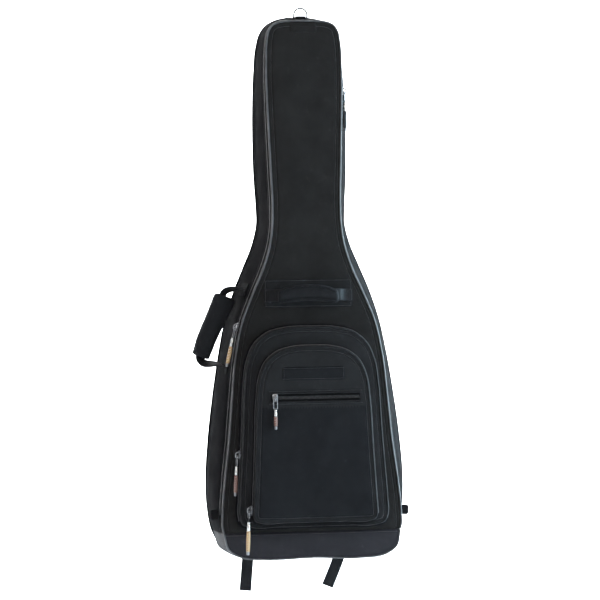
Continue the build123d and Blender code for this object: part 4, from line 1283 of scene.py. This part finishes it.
sg = soften("side_grip", "side_handle_grip", 3.2, [GRIP], cap=3.5, pressure=4.0, smooth=4, extra=side_form)
place(sg, "side_handle", ["side_handle_grip"])
hp = smooth_path([pa + na * 5.2, pa + na * 9.0 + [-3, 0, -1], g1 - gd * 12, g1, (g1 + g2) / 2 + [-2.5, 0, -1], g2, g2 + gd * 9 + [1, 0, 0], g2 + gd * 17 + [7, 0, 1],
                  pb + nb * 13 + [-1, 0, 4], pb + nb * 5.2 + [1, 0, 1]], 110)
hd = np.gradient(hp, axis=0)
hn = np.cross(hd / np.linalg.norm(hd, axis=1)[:, None], np.array([0, 1.0, 0]))
phi = np.radians(58.0) * np.sin(np.linspace(0, math.pi, len(hp))) ** 0.7
turn = np.outer(np.cos(phi), [0, 1.0, 0]) + hn * np.sin(phi)[:, None]
place(strap("side_handle_strap", hp, turn, 25.0, 2.4, [WEB]), "side_handle", ["side_handle_webbing"])

# ------------------------------------------------------------------ sliders and pulls
PLACES = {
    "main_left": ((-139.418, -27.408, -635.731), (0.22678, 0.01672, 0.9738), (-0.94405, -0.24206, 0.22401), 80.0),
    "main_right": ((78.242, -19.281, -165.998), (0.00207, 0.01717, 0.99985), (0.98078, -0.1951, 0.00132), 80.0),
    "large_pocket": ((-144.396, -68.989, -887.336), (0.06238, 0.02115, 0.99783), (-0.97598, -0.2078, 0.06542), 80.0),
    "small_pocket": ((-126.282, -97.953, -994.745), (0.04379, 0.02117, 0.99882), (-0.95451, -0.29426, 0.04808), 80.0),
    "flat_pocket": ((-78.0, -107.078, -775.577), (0.0, 0.02119, 0.99978), (0.0, -0.99978, 0.02119), 60.0),
}


def plate(name, outline, y0, y1, L, mats, bevel=0.5):
    n = len(outline)
    o = np.array(outline, float)
    v = np.concatenate([np.stack([o[:, 0], np.full(n, y0), o[:, 1]], 1), np.stack([o[:, 0], np.full(n, y1), o[:, 1]], 1)])
    f = [tuple(range(n)), tuple(range(2 * n - 1, n - 1, -1))] + [(i, n + i, n + (i + 1) % n, (i + 1) % n) for i in range(n)]
    ob = mesh(name, L(v), f, None, False, mats)
    fix_normals(ob)
    b = ob.modifiers.new("b", "BEVEL")
    b.width, b.segments, b.limit_method = bevel * MM, 3, "ANGLE"
    apply_all(ob)
    ob.data.polygons.foreach_set("use_smooth", [True] * len(ob.data.polygons))
    return ob


def lathe(name, prof, L, centre, mats, sides=24, ripple=0.0, twist=0.0):
    """A turned form along the pull: prof is (z, r)."""
    ang = np.arange(sides) / sides * 2 * math.pi
    rings = []
    for k, (z, r) in enumerate(prof):
        rr = r * (1 + ripple * np.cos(ang * 6 + twist * z))
        rings.append(L(np.stack([centre[0] + rr * np.cos(ang), centre[1] + rr * np.sin(ang), np.full(sides, z)], 1)))
    v = np.concatenate(rings)
    f = loft_faces(len(prof), sides) + [tuple(range(sides))[::-1], tuple((len(prof) - 1) * sides + k for k in range(sides))]
    return fix_normals(mesh(name, v, f, None, True, mats))


for key, (p, u, n, length) in PLACES.items():
    L = loc(p, u, n)
    body = key + "_slider"
    shield = [(-3.4, 8), (3.4, 8), (5.4, 5.6), (5.4, 0.5), (4.2, -4.5), (3.6, -8), (-3.6, -8), (-4.2, -4.5), (-5.4, 0.5), (-5.4, 5.6)]
    a = plate(key + "_slider_top", shield, -3.0, -1.5, L, [SLIDER])
    low = plate(key + "_slider_low", [(x * 0.96, z * 0.97) for x, z in shield], -0.9, 0.1, L, [SLIDER], 0.3)
    post = plate(key + "_slider_post", [(-1.5, 7), (1.5, 7), (1.5, 2.5), (-1.5, 2.5)], -1.8, -0.6, L, [SLIDER], 0.2)
    br = tube(key + "_slider_bridge", L(smooth_path([(0, -2.4, 4.4), (0, -5.2, 4.6), (0, -8.3, 2.4), (0, -9.0, -1.5), (0, -8.2, -5.0), (0, -5.2, -6.8), (0, -2.4, -6.6)], 26)),
              1.45, [SLIDER], closed=False, sides=10)
    sl = join(key + "_slider_body", [a, low, post, br])
    place(sl, body, [key + "_slider"])
    # the wire ring on the bridge
    leg = 13.0 if key == "small_pocket" else 19.0
    pull_body = key + "_pull"
    ring_body = "small_pocket_pull_ring" if key == "small_pocket" else pull_body
    zt, zb = -2.1, -2.1 - leg - 0.5
    k = []
    for cx, cz, a0 in ((2.4, zt - 1.0, 0), (-2.4, zt - 1.0, 90), (-2.4, zb + 1.6, 180), (2.4, zb + 1.6, 270)):
        for aa in np.linspace(0, 90, 5):
            r1 = 1.35
            k.append((cx + r1 * math.cos(math.radians(a0 + aa)), -5.9, cz + r1 * math.sin(math.radians(a0 + aa)) * (1.0)))
    wire = tube(key + "_wire_ring", L(resample(np.array(k), 1.4, True)), 0.95, [NICKEL], closed=True, sides=10)
    place(wire, ring_body, ["small_pocket_pull_ring"] if key == "small_pocket" else [])
    gap = 6.6 if key == "small_pocket" else 0.2
    z0 = -2.1 - leg - 1.7 - gap
    # cord loop through the ring
    hz = zb
    lp = smooth_path([(-1.2, -5.9, z0 - 1.0), (-1.5, -5.9, (z0 + hz) / 2 + 0.3), (-1.15, -5.9, hz + 0.6), (0, -5.9, hz + 2.0), (1.15, -5.9, hz + 0.6),
                      (1.5, -5.9, (z0 + hz) / 2 + 0.3), (1.2, -5.9, z0 - 1.0)], 24)
    lp[:, 1] += 1.3 * np.sin(np.linspace(0, math.pi, 24)) * np.where(np.arange(24) < 12, 1, -1)
    loop = tube(key + "_cord_loop", L(lp), 0.85, [THREAD], closed=False, sides=8)
    fl = 13.0 if key == "flat_pocket" else 18.0
    fe = lathe(key + "_ferrule", [(z0, 1.6), (z0 - 0.2, 2.5), (z0 - 0.8, 2.95), (z0 - 2.6, 3.0), (z0 - 3.0, 2.6), (z0 - 3.5, 2.6), (z0 - 3.9, 3.05), (z0 - fl * 0.6, 3.2), (z0 - fl + 1.2, 3.1),
                                 (z0 - fl + 0.4, 2.9), (z0 - fl, 2.2)], L, (0, -5.9), [FERRULE])
    sleeve_len = length - leg - 1.9 - fl - 7.0 - 0.4
    zs = z0 - fl - 0.2
    m = 44
    prof = [(zs - sleeve_len * t, 3.35 + 0.45 * math.sin(math.pi * t) ** 0.5) for t in np.linspace(0, 1, m)]
    prof = [(zs + 0.0, 2.3)] + prof + [(zs - sleeve_len - 0.1, 2.3)]
    slv = lathe(key + "_sleeve", prof, L, (0, -5.9), [SLEEVE_RED if key in ("large_pocket", "flat_pocket") else THREAD if key == "main_right" else SLEEVE], sides=24, ripple=0.05, twist=1.4)
    zc = zs - 0.2 - sleeve_len
    cap = lathe(key + "_end_bead", [(zc, 1.8), (zc - 0.4, 2.7), (zc - 1.2, 3.1), (zc - 2.4, 3.1), (zc - 3.0, 2.5), (zc - 3.6, 2.9), (zc - 5.0, 3.0), (zc - 6.2, 2.4), (zc - 7.0, 1.0)],
                L, (0, -5.9), [SLIDER])
    for o, s in ((loop, "pull_cord"), (fe, "nickel"), (cap, "dark_metal")):
        place(o, pull_body)
    place(slv, pull_body, [key + "_pull"])

# ------------------------------------------------------------------ back straps
for s, nm in ((-1, "left"), (1, "right")):
    pad = soften(nm + "_pad", nm + "_strap_pad", 4.5, [GRIP], cap=5.0, pressure=3.0, smooth=3)
    place(pad, nm + "_strap", [nm + "_strap_pad"])
    top, end = np.array([s * 42.0, 58.0, -495.5]), np.array([s * 95.0, 58.0, -862.0])
    d = (end - top) / np.linalg.norm(end - top)
    across = np.array([-d[2], 0, d[0]])
    # binding round the pad and a webbing strip down its middle
    ww, hh = 28.0, np.linalg.norm(end - top) / 2 - 1.2
    mid = (top + end) / 2
    rect = []
    for cx, cz, a0 in ((ww - 11, hh - 11, 0), (-(ww - 11), hh - 11, 90), (-(ww - 11), -(hh - 11), 180), (ww - 11, -(hh - 11), 270)):
        for aa in np.linspace(0, 90, 8):
            a, b = cx + 11 * math.cos(math.radians(a0 + aa)), cz + 11 * math.sin(math.radians(a0 + aa))
            rect.append(mid + across * a - d * b + np.array([0, 0.4, 0]))
    place(tube(nm + "_pad_binding", resample(np.array(rect), 6.0, True), 1.9, [WEB], sides=8), nm + "_strap")
    run = np.linspace(0.0, 1.0, 60)[:, None]
    line = (top + d * 16) + (end - top) * run * 0.955
    line = line + np.array([0, 7.6, 0]) + np.outer(0.25 * np.sin(np.linspace(0, 9, 60)), [0, 1, 0])
    place(strap(nm + "_pad_webbing", line, across, 24.0, 1.6, [WEB]), nm + "_strap")
    for o in (-9.5, 9.5):
        place(stitches(nm + "_pad_stitches_" + ("a" if o < 0 else "b"), line + across * o + np.array([0, 0.95, 0]), np.array([0, 1.0, 0]), THREAD), nm + "_strap")
    w_top, w_low = end + d * 30.5, np.array([s * 143.0, 0, -1036.0])
    w_top, w_low = np.array([w_top[0], 53.6, w_top[2]]), np.array([w_low[0], 53.6, w_low[2]])
    wd = (w_low - w_top) / np.linalg.norm(w_low - w_top)
    lw = w_top + np.outer(np.linspace(0.012, 0.992, 50), (w_low - w_top))
    lw[:, 1] += 0.35 * np.sin(np.linspace(0, 7, 50))
    place(strap(nm + "_lower_strap", lw, np.array([-wd[2], 0, wd[0]]), 24.0, 1.9, [WEB]), nm + "_lower_webbing", [nm + "_lower_webbing"])
    c = end + d * 14.5
    pts = ([(c[0], c[2] - 6), (-105, -960), (-113, -1060), (-123, -1171)] if s < 0 else [(c[0], c[2] - 6), (98, -960), (87, -1050), (69, -1110), (45.5, -1167)])
    sp = smooth_path(pts, 90)
    ty = 62.4 + 0.9 * np.sin(np.linspace(0, 8.5, 90)) * np.linspace(0, 1, 90)
    place(strap(nm + "_tail_webbing", np.stack([sp[:, 0], ty, sp[:, 1]], 1), np.array([1.0, 0, 0]) if s < 0 else np.stack([np.gradient(sp[:, 1]) * -1, 0 * ty, np.gradient(sp[:, 0])], 1),
                23.6, 1.9, [WEB]), nm + "_strap_tail", [nm + "_strap_tail"])
    # the tail's end is folded over and sewn
    e, e0 = sp[-1], sp[-10]
    dd = np.array([e[0] - e0[0], 0, e[1] - e0[1]])
    dd /= np.linalg.norm(dd)
    tip = np.array([e[0], ty[-1], e[1]])
    fold = tip - np.outer(np.linspace(0, 12, 8), dd) + np.array([0, 1.7, 0])
    place(strap(nm + "_tail_hem", fold, np.array([-dd[2], 0, dd[0]]), 23.2, 1.5, [WEB]), nm + "_strap_tail")

yk = soften("yoke_pad", "strap_yoke", 2.6, [GRIP], cap=1.2, pressure=2.0, smooth=3, sim=False)
place(yk, "root", ["strap_yoke"])
nr = soften("neck_rest_pad", "neck_rest", 4.0, [LINING], cap=3.0, pressure=3.0, smooth=5)
place(nr, "root", ["neck_rest"])
lo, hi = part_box("neck_strap")
cy, cz = (lo.y + hi.y) / 2 / MM, (lo.z + hi.z) / 2 / MM
xs = np.linspace(lo.x / MM, hi.x / MM, 50)
ns = strap("neck_strap_web", np.stack([xs, cy + 0.3 * np.sin(xs / 12.0), 0 * xs + cz], 1), np.array([0, 0, 1.0]), 26.0, 2.3, [WEB])
place(ns, "neck_strap", ["neck_strap"])
tb = soften("zip_end_tab_loops", "zip_end_tabs", 1.2, [WEB_CAD], smooth=3, sim=False)
place(tb, "root", ["zip_end_tabs"])

# ------------------------------------------------------------------ CAD nodes that stay
for node, m in (("hanging_ring", RING_WIRE), ("ring_tab", WEB_CAD), ("side_handle_anchors", WEB_CAD), ("lower_strap_anchors", WEB_CAD),
                ("left_ladder_lock", PLASTIC), ("right_ladder_lock", PLASTIC)):
    o = NODES[node]
    o.data.materials.clear()
    o.data.materials.append(m)


# ------------------------------------------------------------------ floor, light and camera
def stage_piece(name, verts, faces, m, smooth=False):
    ob = mesh(name, np.array(verts, float) / MM, faces, None, smooth, [m])
    return ob


g = Graph("studio_sweep", (0.93, 0.935, 0.94), 0.85, spec=0.2)
g.color(g.mix(g.ramp(g.noise(3.0, 2.0), 0.3, 0.7, 0.0, 1.0), (0.925, 0.93, 0.935), (0.94, 0.945, 0.95)))
sweep = g.done()
# the sweep is seen from its inner side only, so that the bag can be looked at from behind
through, pick, side_of = g.node("ShaderNodeBsdfTransparent"), g.node("ShaderNodeMixShader"), g.node("ShaderNodeNewGeometry")
g.link(side_of.outputs["Backfacing"], pick.inputs[0])
g.link(g.b.outputs[0], pick.inputs[1])
g.link(through.outputs[0], pick.inputs[2])
g.link(pick.outputs[0], g.nt.nodes["Material Output"].inputs["Surface"])
FLOOR_Z = -1.215
rows = []
for y, z in [(-9, 0), (0.5, 0)] + [(2.2 + 1.6 * math.sin(a), 1.6 - 1.6 * math.cos(a)) for a in np.linspace(0, math.pi / 2, 14)] + [(3.8, 8.0)]:
    rows.append([(-9, y, FLOOR_Z + z), (9, y, FLOOR_Z + z)])
vs = [p for r in rows for p in r]
fs = [(2 * i, 2 * i + 1, 2 * i + 3, 2 * i + 2) for i in range(len(rows) - 1)]
stage_piece("studio_floor", vs, fs, sweep, True)

scene = bpy.context.scene
scene.view_settings.view_transform = "Standard"
world = bpy.data.worlds.new("studio")
scene.world = world
world.use_nodes = True
bg = world.node_tree.nodes["Background"]
bg.inputs["Color"].default_value = (0.93, 0.965, 1.0, 1)
bg.inputs["Strength"].default_value = 0.62


def area(name, loc_, target, size, power, color=(1, 1, 1), size_y=None):
    l = bpy.data.lights.new(name, "AREA")
    l.energy, l.size, l.color = power, size, color
    if size_y:
        l.shape, l.size_y = "RECTANGLE", size_y
    o = bpy.data.objects.new(name, l)
    scene.collection.objects.link(o)
    o.location = loc_
    o.rotation_euler = (Vector(target) - Vector(loc_)).to_track_quat("-Z", "Y").to_euler()
    return o


area("key_right", (2.4, -1.3, -0.2), (0.1, 0, -0.75), 1.4, 84, (0.66, 0.86, 1.0), 2.2)
area("fill_front", (-0.3, -3.6, 1.2), (0, 0, -0.35), 2.2, 33, (1.0, 0.93, 0.86))
area("rim_right", (1.7, 0.5, -0.5), (0.1, 0, -0.6), 0.8, 105, (0.58, 0.84, 1.0), 2.0)
area("backdrop", (0, 1.2, 1.6), (0, 3.8, 0.0), 3.0, 420)
area("backdrop_low", (0, 1.4, -0.9), (0, 3.8, -0.6), 3.0, 90, size_y=0.4)

cam = bpy.data.cameras.new("camera")
co = bpy.data.objects.new("camera", cam)
scene.collection.objects.link(co)
AZ, DIST, ROLL = math.radians(-8.0), 5.0, math.radians(-0.94)
target = Vector((-0.0130, -0.02, -0.584))
co.location = target + Vector((math.sin(AZ), -math.cos(AZ), 0)) * DIST
co.rotation_mode = "QUATERNION"
quat = (target - co.location).to_track_quat("-Z", "Y")
co.rotation_quaternion = quat @ Vector((0, 0, 1)).rotation_difference(Vector((0, 0, 1))) @ Matrix.Rotation(ROLL, 4, "Z").to_quaternion()
cam.sensor_width = 36.0
cam.lens = 36.0 * DIST / 1.2
cam.clip_start, cam.clip_end = 0.1, 60
scene.camera = co
